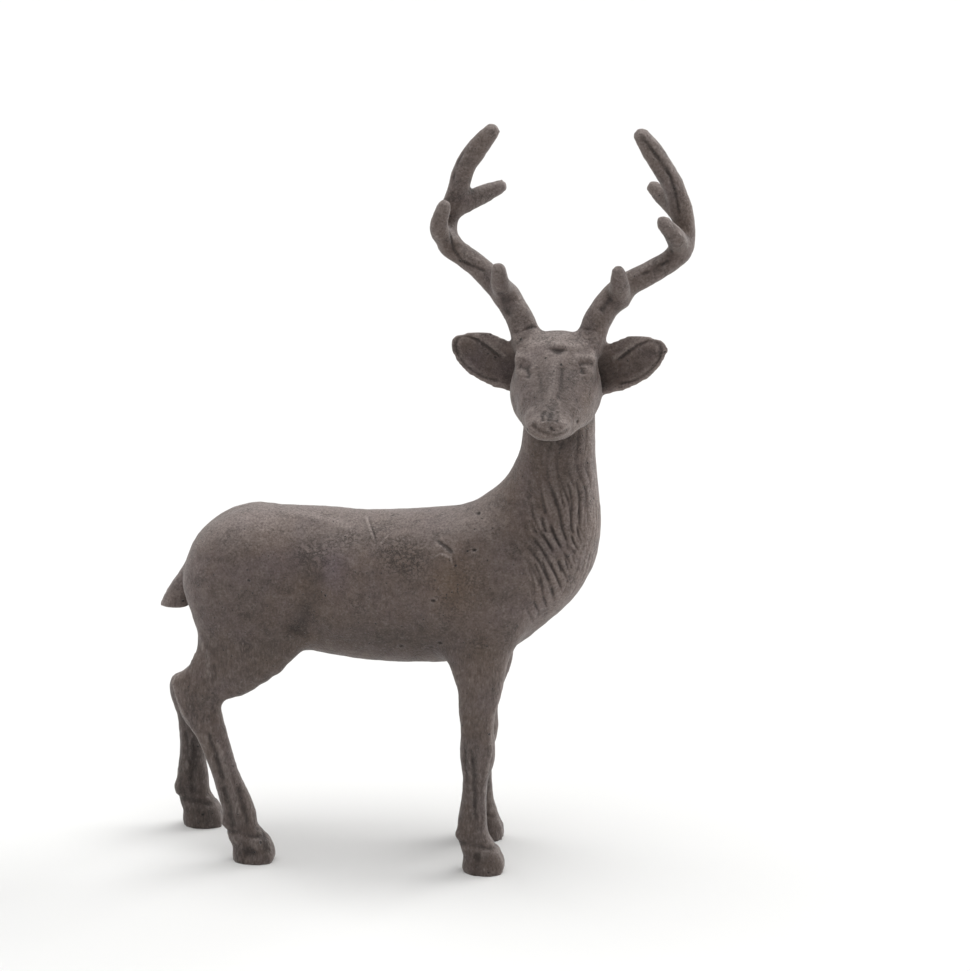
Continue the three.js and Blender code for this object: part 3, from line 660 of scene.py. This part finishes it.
# Each hole is painted dark as the shade inside it.
HOLE_DABS = [("hole", hole, (0.7, 2.0, 0.45), -0.9, 3.5) for hole in HOLES]

# Each hoof's crown is a ring round the leg: its middle, and its height.
HOOF_CROWNS = [((-1.0, -21.5), 13.2), ((-4.8, 21.5), 13.2), ((-102.2, -21.5), 13.4), ((-133.8, 21.5), 12.6)]
CROWN_HALF = (9.0, 7.0)
CROWN_POINTS = 14
CROWN_TOP = 24.0
CROWN_STEP = 2.4


def ring(middle, height, spread):
    turns = [2.0 * math.pi * i / CROWN_POINTS for i in range(CROWN_POINTS + 1)]
    return [
        (
            middle[0] + spread * CROWN_HALF[0] * math.cos(turn),
            middle[1] + spread * CROWN_HALF[1] * math.sin(turn),
            height - 1.2 * math.cos(turn) + 0.7 * math.sin(3.0 * turn),
        )
        for turn in turns
    ]


everywhere = np.arange(len(clay))
low = np.flatnonzero(clay[:, 2] < CROWN_TOP)
carve_lines(LEG_LINES + BODY_LINES + SMALL_MARKS, everywhere)
press_dabs(HOLE_DABS, everywhere)
press_dabs(HOOF_DABS, low)
worn = 0.7 + 0.6 * wander(clay[low], 5.0, 8)
# Each crown's step is painted dark as shade and the edge below it pale as highlight.
for middle, height in HOOF_CROWNS:
    step = worn * stroke(clay[low], ring(middle, height, 1.0), 1.1, 1.0, 0.0)
    edge = worn * stroke(clay[low], ring(middle, height - CROWN_STEP, 1.05), 1.4, 1.0, 0.0)
    lift[low] += 0.35 * edge - 0.55 * step
    painted_shading_and_wear[low] += 0.45 * step - 0.2 * edge
line_count = len(LEG_LINES) + len(BODY_LINES) + len(SMALL_MARKS)
print("trunk and legs:", line_count, "lines,", len(HOLES), "holes,", len(HOOF_CROWNS), "crowns")

# %% [markdown]
# Sand-cast unevenness
#
# No casting is perfectly smooth. A slow wander of three tenths of a millimetre makes
# the light slide unevenly over the flanks, and a finer one roughens the outline. The
# head gets less of both. Then every corner moves out or in along its normal, and the
# soles are set flat on the floor.

# %% Uneven surface, then move every corner
UNEVEN_WIDE = 0.3
UNEVEN_CLOSE = 0.16
HEAD_CALM = 0.7
SOLE_HEIGHT = 0.7

broad = 1.0 - HEAD_CALM * ramp(clay[:, 2], 196.0, 210.0)
lift += broad * (UNEVEN_WIDE * wander(clay, 11.0, 4) + UNEVEN_CLOSE * wander(clay, 3.2, 5))
clay += lift[:, None] * normals_of(stag.data)
clay[:, 2] = np.where(clay[:, 2] < SOLE_HEIGHT, 0.0, clay[:, 2])
put_corners(stag.data, to_metres(clay))
print("carved; tallest point", (clay[:, 2].max() * GROWTH).round(2), "mm")

# %% [markdown]
# Masks for wear, painted shade and painted highlight
#
# Raised edges are painted paler, partly as wear and partly as painted highlight, and
# hollows are painted darker as shade. How a surface curves can be read from the mesh:
# a corner that stands out from its neighbours is raised. To that are added the painted
# shade and highlight of the lines above, spots of painted shade, darkening towards the
# ground and on the antlers, and spots where the figure is browner, more violet or more
# cracked. The masks are kept as attributes, which the material reads.

# %% Measure what is raised and paint the masks
MASK_ROUNDS = 6
SPREAD = 0.12
SMALLEST_CELL = 0.1
CURVE_FULL = 0.29


def store_mask(mesh, name, values):
    mask = mesh.attributes.new(name, "FLOAT", "POINT")
    mask.data.foreach_set("value", np.clip(values, 0.0, 1.0).astype(np.float32))


def curvature(mesh):
    """How far corners stand out for the size of their cells, blurred a little."""
    points, edges = to_drawing(corners_of(mesh)), edges_of(mesh)
    stand_out = ((points - neighbour_mean(points, edges)) * normals_of(mesh)).sum(axis=1)
    lengths = np.linalg.norm(points[edges[:, 0]] - points[edges[:, 1]], axis=1)
    count = np.bincount(edges.ravel(), minlength=len(points))
    reach = np.bincount(edges.ravel(), weights=np.repeat(lengths, 2), minlength=len(points))
    cell = np.maximum(reach / np.maximum(count, 1), SMALLEST_CELL)
    curve = (2.0 * stand_out / cell**2)[:, None]
    # Small cells pass on more, so that the blur is about as wide on fine parts.
    share = np.clip(SPREAD / cell**2, 0.03, 0.6)[:, None]
    for _ in range(MASK_ROUNDS):
        curve += share * (neighbour_mean(curve, edges) - curve)
    return curve[:, 0]


# The figure is made darker towards the ground and on the antlers.
LOW_DARKENING = 0.5
ANTLER_DARKENING = 0.26
# Spots of painted shade: in the ear hollows and the nose, under the jaw, below the crown, on the muzzle,
# belly, thigh and far hind leg.
PAINTED_SHADE_SPOTS = [
    ("hollow of the ear, photo left", (1, -10, 220), (9, 8, 6), 0.34),
    ("hollow of the ear, photo right", (58, -10, 219), (6, 8, 6), 0.1),
    ("end of the nose", (33.2, -46, 207), (1.8, 5, 4), 0.4),
    ("throat", (33, -19, 192), (14, 12, 6), 0.7),
    ("neck below the jaw", (33, -16, 178), (13, 12, 12), 0.3),
    ("face below the crown", (33, -31, 216), (13, 12, 9), 0.36),
    ("muzzle", (33, -43, 205), (11, 9, 8), 0.26),
    ("belly", (-34, -22, 102), (38, 14, 12), 0.65),
    ("thigh", (-95, -24, 100), (24, 12, 28), 0.36),
    ("far hind leg", (-135, 20, 35), (14, 16, 40), 0.26),
]
BROWN_SPOTS = [
    ("shoulder", (-9, -28, 129), (13, 10, 15), 1.0),
    ("near foreleg", (2, -27, 98), (9, 9, 14), 0.6),
]
VIOLET_SPOTS = [
    ("flank", (-61, -26, 132), (7, 9, 11), 1.0),
    ("hip", (-84, -25, 136), (9, 9, 8), 0.7),
]
CRACKED_SPOTS = [
    ("hip", (-70, -22, 137), (11, 10, 9), 1.0),
    ("loin", (-55, -18, 144), (8, 8, 4), 0.8),
    ("ribs", (-36, -22.4, 140), (10, 10, 7), 1.0),
    ("behind the shoulder", (-27, -24.6, 136), (9, 9, 9), 0.9),
    ("shoulder", (-2, -28, 130), (10, 10, 14), 0.7),
    ("end of the nose", (33, -46, 207), (2.4, 6, 4.4), 0.9),
]


def spots(rows):
    """Rows of name, centre, radii and amount, added up over the casting."""
    return sum(dab(clay, centre, radii, amount) for _, centre, radii, amount in rows)


curve = curvature(stag.data)
height = clay[:, 2]
# Painted shade in the hollows, the spots and the lines, with the darkening low down and on the antlers.
painted_shade_and_darkening = np.clip(-curve / CURVE_FULL, 0.0, 1.0) + spots(PAINTED_SHADE_SPOTS) + np.maximum(painted_shading_and_wear, 0.0)
painted_shade_and_darkening += LOW_DARKENING * (1.0 - ramp(height, 10.0, 120.0)) + ANTLER_DARKENING * ramp(height, 232.0, 240.0)
# Raised edges paler, partly as wear and partly as painted highlight from the lines.
store_mask(stag.data, "raised", curve / CURVE_FULL + np.maximum(-painted_shading_and_wear, 0.0))
store_mask(stag.data, "shade_mask", painted_shade_and_darkening)
store_mask(stag.data, "browned", spots(BROWN_SPOTS))
store_mask(stag.data, "violet", spots(VIOLET_SPOTS))
store_mask(stag.data, "cracked", spots(CRACKED_SPOTS))
print("curvature from", np.percentile(curve, 2).round(3), "to", np.percentile(curve, 98).round(3))

# %% [markdown]
# Thin the mesh where it is plain
#
# The flanks don't need as many faces as the hair and the face do. Decimation joins
# faces where that changes the form least, until the casting is within its budget.

# %% Thin the mesh
TRIANGLE_BUDGET = 192000

sides = np.empty(len(stag.data.polygons), dtype=np.int32)
stag.data.polygons.foreach_get("loop_total", sides)
triangles = int((sides - 2).sum())
thinning = stag.modifiers.new("thinning", "DECIMATE")
thinning.ratio = min(1.0, TRIANGLE_BUDGET / triangles)
apply_modifiers(stag)
print("thinned from", triangles, "triangles to", len(stag.data.polygons), "faces")

# %% [markdown]
# Shared effects
#
# Grain, pits, patches of tone, and settled dust with painted light from above are
# shader node groups. Each is built once, has named inputs and outputs, and puts out
# only masks, heights or colours, so that any rough casting could use it with values of
# its own.

# %% A short way to write node groups
def new_group(name, inputs, outputs):
    tree = bpy.data.node_groups.new(name, "ShaderNodeTree")
    for label, kind in inputs:
        tree.interface.new_socket(name=label, in_out="INPUT", socket_type="NodeSocket" + kind)
    for label, kind in outputs:
        tree.interface.new_socket(name=label, in_out="OUTPUT", socket_type="NodeSocket" + kind)
    return tree, tree.nodes.new("NodeGroupInput"), tree.nodes.new("NodeGroupOutput")


def add_node(tree, kind, **settings):
    made = tree.nodes.new("ShaderNode" + kind)
    for key, value in settings.items():
        setattr(made, key, value)
    return made


def calculate(tree, operation, first, second=0.0):
    """One Math node. Each operand is a socket or a plain number."""
    made = add_node(tree, "Math", operation=operation)
    for socket, value in zip(made.inputs, (first, second)):
        if isinstance(value, (int, float)):
            socket.default_value = value
        else:
            tree.links.new(value, socket)
    return made.outputs[0]


def remap(tree, value, between, onto=(0.0, 1.0)):
    """Stretches one range of values onto another, and holds it at both ends."""
    made = add_node(tree, "MapRange", clamp=True)
    made.inputs["From Min"].default_value = between[0]
    made.inputs["From Max"].default_value = between[1]
    made.inputs["To Min"].default_value = onto[0]
    made.inputs["To Max"].default_value = onto[1]
    tree.links.new(value, made.inputs["Value"])
    return made.outputs["Result"]


def noise_of(tree, position, scale, detail, rough=0.5):
    made = add_node(tree, "TexNoise")
    made.inputs["Scale"].default_value = scale
    made.inputs["Detail"].default_value = detail
    made.inputs["Roughness"].default_value = rough
    tree.links.new(position, made.inputs["Vector"])
    return made.outputs["Fac"]


# %% [markdown]
# Sand grain
#
# The sand of the mould leaves a skin of grains a little under a millimetre across,
# with finer ones between them. Down the legs the grain is drawn out lengthwise. Where
# the sand cracked or lifted, short dark squiggles wander over the skin: they lie where
# a smooth noise crosses its middle value, thinly everywhere and thickly in patches.

# %% The grain group
LEG_TOP = 0.1
DRAWN_OUT = 0.4
COARSE_SHARE = 0.6
FINE_GRAIN_SHARE = 0.4


def build_grain():
    tree, given, result = new_group(
        "sand_grain",
        [("Position", "Vector"), ("Cracked", "Float")],
        [("Height", "Float"), ("Squiggles", "Float")],
    )
    parts = add_node(tree, "SeparateXYZ")
    tree.links.new(given.outputs["Position"], parts.inputs["Vector"])
    above = calculate(tree, "SUBTRACT", parts.outputs["Z"], LEG_TOP * (1.0 - DRAWN_OUT))
    below = calculate(tree, "MULTIPLY", parts.outputs["Z"], DRAWN_OUT)
    joined = add_node(tree, "CombineXYZ")
    tree.links.new(parts.outputs["X"], joined.inputs["X"])
    tree.links.new(parts.outputs["Y"], joined.inputs["Y"])
    tree.links.new(calculate(tree, "MAXIMUM", above, below), joined.inputs["Z"])
    place = joined.outputs["Vector"]
    coarse = noise_of(tree, place, scale=1000.0, detail=3.0, rough=0.6)
    fine = noise_of(tree, place, scale=2400.0, detail=2.0, rough=0.6)
    coarse_share = calculate(tree, "MULTIPLY", coarse, COARSE_SHARE)
    fine_share = calculate(tree, "MULTIPLY", fine, FINE_GRAIN_SHARE)
    tree.links.new(calculate(tree, "ADD", coarse_share, fine_share), result.inputs["Height"])
    bends = noise_of(tree, place, scale=400.0, detail=3.0, rough=0.65)
    from_middle = calculate(tree, "ABSOLUTE", calculate(tree, "SUBTRACT", bends, 0.5))
    lines = remap(tree, from_middle, (0.02, 0.085), (1.0, 0.0))
    slow = noise_of(tree, place, scale=130.0, detail=3.0)
    patches = remap(tree, slow, (0.5, 0.66), (0.16, 0.7))
    thick = calculate(tree, "MAXIMUM", patches, given.outputs["Cracked"])
    tree.links.new(calculate(tree, "MULTIPLY", lines, thick), result.inputs["Squiggles"])
    return tree


grain_group = build_grain()
print("group", grain_group.name)


# %% [markdown]
# Pits
#
# Gas and loose sand leave small ragged holes. A Voronoi texture puts one possible pit
# in each of its cells, and the cell's random colour says whether it is there at all.
# The places are shaken by noise first, so that no pit is a neat disc.

# %% The pit group
SHAKE = 0.0011


def build_pits():
    tree, given, result = new_group(
        "casting_pits",
        [("Position", "Vector"), ("Per Metre", "Float"), ("Share", "Float")],
        [("Mask", "Float")],
    )
    shake = add_node(tree, "TexNoise")
    shake.inputs["Scale"].default_value = 700.0
    shake.inputs["Detail"].default_value = 2.0
    tree.links.new(given.outputs["Position"], shake.inputs["Vector"])
    nudge = add_node(tree, "VectorMath", operation="MULTIPLY_ADD")
    tree.links.new(shake.outputs["Color"], nudge.inputs[0])
    nudge.inputs[1].default_value = (SHAKE, SHAKE, SHAKE)
    tree.links.new(given.outputs["Position"], nudge.inputs[2])
    cells = add_node(tree, "TexVoronoi", feature="F1")
    tree.links.new(nudge.outputs["Vector"], cells.inputs["Vector"])
    tree.links.new(given.outputs["Per Metre"], cells.inputs["Scale"])
    chance = add_node(tree, "SeparateColor")
    tree.links.new(cells.outputs["Color"], chance.inputs["Color"])
    present = calculate(tree, "LESS_THAN", chance.outputs["Red"], given.outputs["Share"])
    radius = remap(tree, chance.outputs["Green"], (0.0, 1.0), (0.12, 0.32))
    depth = calculate(tree, "SUBTRACT", radius, cells.outputs["Distance"])
    ragged = remap(tree, depth, (0.0, 0.06))
    tree.links.new(calculate(tree, "MULTIPLY", present, ragged), result.inputs["Mask"])
    return tree


pit_group = build_pits()
print("group", pit_group.name)


# %% [markdown]
# Patches of tone
#
# Bare iron goes brown unevenly. A noise with fine detail mixes two colours, so that
# the border between them is broken up. Share says how much the second colour covers.

# %% The patch group
def build_patches():
    tree, given, result = new_group(
        "tone_patches",
        [
            ("Position", "Vector"),
            ("Per Metre", "Float"),
            ("First", "Color"),
            ("Second", "Color"),
            ("Share", "Float"),
        ],
        [("Color", "Color"), ("Mask", "Float")],
    )
    slow = add_node(tree, "TexNoise")
    slow.inputs["Detail"].default_value = 5.0
    slow.inputs["Roughness"].default_value = 0.62
    tree.links.new(given.outputs["Position"], slow.inputs["Vector"])
    tree.links.new(given.outputs["Per Metre"], slow.inputs["Scale"])
    shifted = calculate(tree, "ADD", slow.outputs["Fac"], given.outputs["Share"])
    mask = remap(tree, shifted, (0.88, 1.12))
    blend = add_node(tree, "Mix", data_type="RGBA")
    tree.links.new(mask, blend.inputs["Factor"])
    tree.links.new(given.outputs["First"], blend.inputs[6])
    tree.links.new(given.outputs["Second"], blend.inputs[7])
    tree.links.new(blend.outputs[2], result.inputs["Color"])
    tree.links.new(mask, result.inputs["Mask"])
    return tree


patch_group = build_patches()
print("group", patch_group.name)


# %% [markdown]
# Settled dust and painted light from above
#
# Pale dust and painted light from above lie where the surface faces up, and wear and
# painted highlight on raised edges, all broken by the grain.

# %% The dust and painted light group
UPWARD_DUST_AND_LIGHT = 0.68
EDGE_WEAR_AND_HIGHLIGHT = 0.55


def build_dust_and_top_light():
    tree, given, result = new_group(
        "dust_and_top_light", [("Raised", "Float"), ("Grain", "Float")], [("Mask", "Float")]
    )
    surface = add_node(tree, "NewGeometry")
    direction = add_node(tree, "SeparateXYZ")
    tree.links.new(surface.outputs["Normal"], direction.inputs["Vector"])
    # Surfaces facing up are painted paler, partly as dust and partly as light from above.
    upward = remap(tree, direction.outputs["Z"], (0.4, 0.95), (0.0, UPWARD_DUST_AND_LIGHT))
    pale_wear_and_highlight = calculate(tree, "MULTIPLY", given.outputs["Raised"], EDGE_WEAR_AND_HIGHLIGHT)
    both = calculate(tree, "ADD", upward, pale_wear_and_highlight)
    broken = remap(tree, given.outputs["Grain"], (0.35, 0.65), (0.45, 1.0))
    tree.links.new(calculate(tree, "MULTIPLY", both, broken), result.inputs["Mask"])
    return tree


dust_and_light_group = build_dust_and_top_light()
print("group", dust_and_light_group.name)

# %% [markdown]
# The iron
#
# The finish is bare iron under a thin brown skin of rust: dark in the pits, with
# painted shade in the hollows and on the undersides, browner or greyer in patches, and
# paler where it is worn or dusty, with painted light on the tops and painted highlight on
# the edges. It stays rough everywhere, so it never mirrors anything, but the metal and
# dust still give a dull sheen. The relief of grain and pits is a bump of about half a
# millimetre.

# %% Build the iron material
IRON_DARK = (0.112, 0.083, 0.073, 1.0)
IRON_MIDDLE = (0.168, 0.128, 0.114, 1.0)
IRON_BROWN = (0.152, 0.104, 0.076, 1.0)
IRON_PALE = (0.38, 0.322, 0.298, 1.0)
IRON_PIT_AND_SHADE = (0.026, 0.021, 0.019, 1.0)
IRON_SHADE = (0.048, 0.036, 0.032, 1.0)
IRON_VIOLET = (0.158, 0.118, 0.124, 1.0)
RELIEF_DEPTH = 0.00045
VIOLET_SHARE = 0.5
BROWN_SHARE = 0.6
PAINTED_SHADE_SHARE = 0.72
SHADE_SHARE = 0.36
BRIGHT_SHARE = 0.24
SQUIGGLE_SHARE = 0.62
SQUIGGLE_DEPTH = 0.45
PIT_SHARE = 0.85


def use_group(tree, group, **values):
    made = tree.nodes.new("ShaderNodeGroup")
    made.node_tree = group
    for label, value in values.items():
        socket = made.inputs[label.replace("_", " ")]
        if isinstance(value, bpy.types.NodeSocket):
            tree.links.new(value, socket)
        else:
            socket.default_value = value
    return made


def mix_colour(tree, mask, below, above):
    """below where the mask is 0, above where it is 1. Each is a socket or a colour."""
    made = add_node(tree, "Mix", data_type="RGBA")
    tree.links.new(mask, made.inputs["Factor"])
    for socket, value in ((made.inputs[6], below), (made.inputs[7], above)):
        if isinstance(value, bpy.types.NodeSocket):
            tree.links.new(value, socket)
        else:
            socket.default_value = value
    return made.outputs[2]


def build_iron():
    iron = bpy.data.materials.new("cast_iron")
    iron.use_nodes = True
    tree = iron.node_tree
    shader = tree.nodes["Principled BSDF"]
    place = add_node(tree, "TexCoord").outputs["Object"]
    raised = add_node(tree, "Attribute", attribute_name="raised").outputs["Fac"]
    shade_mask = add_node(tree, "Attribute", attribute_name="shade_mask").outputs["Fac"]
    browned = add_node(tree, "Attribute", attribute_name="browned").outputs["Fac"]
    violet_spots = add_node(tree, "Attribute", attribute_name="violet").outputs["Fac"]
    cracked = add_node(tree, "Attribute", attribute_name="cracked").outputs["Fac"]
    skin = use_group(tree, grain_group, Position=place, Cracked=cracked)
    grain = skin.outputs["Height"]
    squiggles = skin.outputs["Squiggles"]
    large_pits = use_group(tree, pit_group, Position=place, Per_Metre=430.0, Share=0.03).outputs["Mask"]
    small_pits = use_group(tree, pit_group, Position=place, Per_Metre=820.0, Share=0.12).outputs["Mask"]
    tone = use_group(
        tree, patch_group, Position=place, Per_Metre=260.0, First=IRON_DARK, Second=IRON_MIDDLE, Share=0.53
    ).outputs["Color"]
    brown = use_group(tree, patch_group, Position=place, Per_Metre=34.0, Share=0.44).outputs["Mask"]
    violet = use_group(tree, patch_group, Position=place, Per_Metre=58.0, Share=0.42).outputs["Mask"]
    some_violet = calculate(tree, "MULTIPLY", violet, VIOLET_SHARE)
    some_brown = calculate(tree, "MULTIPLY", brown, BROWN_SHARE)
    violet_share = calculate(tree, "MAXIMUM", some_violet, violet_spots)
    brown_share = calculate(tree, "MAXIMUM", some_brown, browned)
    colour = mix_colour(tree, violet_share, tone, IRON_VIOLET)
    colour = mix_colour(tree, brown_share, colour, IRON_BROWN)
    # Dust, with painted light on the tops and painted highlight on the edges, mixed towards the pale
    # colour.
    dust_and_light = use_group(tree, dust_and_light_group, Raised=raised, Grain=grain).outputs["Mask"]
    colour = mix_colour(tree, dust_and_light, colour, IRON_PALE)
    # Painted shade in the hollows, spots and lines, and the darkening low down and on the antlers, mixed
    # towards the darkest colour.
    painted_shade_and_darkening = remap(tree, shade_mask, (0.0, 1.0), (0.0, PAINTED_SHADE_SHARE))
    colour = mix_colour(tree, painted_shade_and_darkening, colour, IRON_PIT_AND_SHADE)
    speckle = remap(tree, grain, (0.38, 0.52), (SHADE_SHARE, 0.0))
    colour = mix_colour(tree, speckle, colour, IRON_SHADE)
    bright = remap(tree, grain, (0.54, 0.68), (0.0, BRIGHT_SHARE))
    colour = mix_colour(tree, bright, colour, IRON_PALE)
    colour = mix_colour(tree, calculate(tree, "MULTIPLY", squiggles, SQUIGGLE_SHARE), colour, IRON_PIT_AND_SHADE)
    pits = calculate(tree, "MAXIMUM", large_pits, small_pits)
    colour = mix_colour(tree, calculate(tree, "MULTIPLY", pits, PIT_SHARE), colour, IRON_PIT_AND_SHADE)
    tree.links.new(colour, shader.inputs["Base Color"])
    roughness = remap(tree, grain, (0.3, 0.7), (0.8, 0.58))
    tree.links.new(roughness, shader.inputs["Roughness"])
    shader.inputs["Metallic"].default_value = 0.25
    shader.inputs["Sheen Weight"].default_value = 0.22
    shader.inputs["Sheen Roughness"].default_value = 0.35
    relief = add_node(tree, "Bump")
    relief.inputs["Distance"].default_value = RELIEF_DEPTH
    dips = calculate(tree, "ADD", calculate(tree, "MULTIPLY", squiggles, SQUIGGLE_DEPTH), pits)
    tree.links.new(calculate(tree, "SUBTRACT", grain, dips), relief.inputs["Height"])
    tree.links.new(relief.outputs["Normal"], shader.inputs["Normal"])
    return iron


stag.data.materials.clear()
stag.data.materials.append(build_iron())
stag.data.polygons.foreach_set("use_smooth", [True] * len(stag.data.polygons))
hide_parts("stag")
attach(stag, "root")
print("casting:", stag.name, "with", len(stag.data.materials[0].node_tree.nodes), "nodes")

# %% [markdown]
# Floor, light and camera
#
# A plain pale floor, one wide soft light overhead and one from each side wall, with a
# weak fill all round, stand for a product photograph's light tent. The camera looks
# from the stag's right, a little ahead of it and from above, with a long lens.

# %% Floor
FLOOR_HALF = 20.0


def build_floor():
    shell = bmesh.new()
    bmesh.ops.create_grid(shell, x_segments=4, y_segments=4, size=FLOOR_HALF)
    mesh = bpy.data.meshes.new("floor")
    shell.to_mesh(mesh)
    shell.free()
    floor = bpy.data.objects.new("floor", mesh)
    bpy.context.scene.collection.objects.link(floor)
    paint = bpy.data.materials.new("pale_floor")
    paint.use_nodes = True
    shader = paint.node_tree.nodes["Principled BSDF"]
    shader.inputs["Base Color"].default_value = (0.86, 0.86, 0.85, 1.0)
    shader.inputs["Roughness"].default_value = 0.75
    mesh.materials.append(paint)
    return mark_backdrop(floor)


floor = build_floor()
print("floor:", FLOOR_HALF * 2, "m wide")

# %% Light
WORLD_STRENGTH = 0.3
SUN_SPREAD = math.radians(55.0)
AIM = Vector(to_metres((0.0, 0.0, 165.0)))


def wide_sun(name, comes_from, strength):
    lamp = bpy.data.lights.new(name, "SUN")
    lamp.energy = strength
    lamp.angle = SUN_SPREAD
    holder = bpy.data.objects.new(name, lamp)
    holder.rotation_euler = Vector(comes_from).to_track_quat("Z", "Y").to_euler()
    bpy.context.scene.collection.objects.link(holder)
    return holder


world = bpy.data.worlds.new("light_tent")
world.use_nodes = True
world.node_tree.nodes["Background"].inputs["Color"].default_value = (1.0, 1.0, 1.0, 1.0)
world.node_tree.nodes["Background"].inputs["Strength"].default_value = WORLD_STRENGTH
bpy.context.scene.world = world
wide_sun("overhead_light", (0.0, -0.02, 1.0), 1.95)
wide_sun("wall_ahead", (1.0, 0.75, 0.3), 2.9)
wide_sun("wall_behind", (-1.0, 0.3, 0.3), 0.9)
bpy.context.scene.view_settings.view_transform = "Standard"

# %% Camera
AZIMUTH = math.radians(8.0)
ELEVATION = math.radians(13.0)
DISTANCE = 1.31 * GROWTH
FOCAL_PIXELS = 3085.0
IMAGE_PIXELS = 971.0
SENSOR = 36.0

back = Vector(
    (
        math.sin(AZIMUTH) * math.cos(ELEVATION),
        -math.cos(AZIMUTH) * math.cos(ELEVATION),
        math.sin(ELEVATION),
    )
)
lens = bpy.data.cameras.new("view")
lens.sensor_width = SENSOR
lens.lens = FOCAL_PIXELS / IMAGE_PIXELS * SENSOR
lens.clip_end = 50.0
camera = bpy.data.objects.new("view", lens)
camera.location = AIM + back * DISTANCE
camera.rotation_euler = (-back).to_track_quat("-Z", "Y").to_euler()
bpy.context.scene.collection.objects.link(camera)
bpy.context.scene.camera = camera
print("camera at", [round(c, 3) for c in camera.location], "lens", round(lens.lens, 1), "mm")
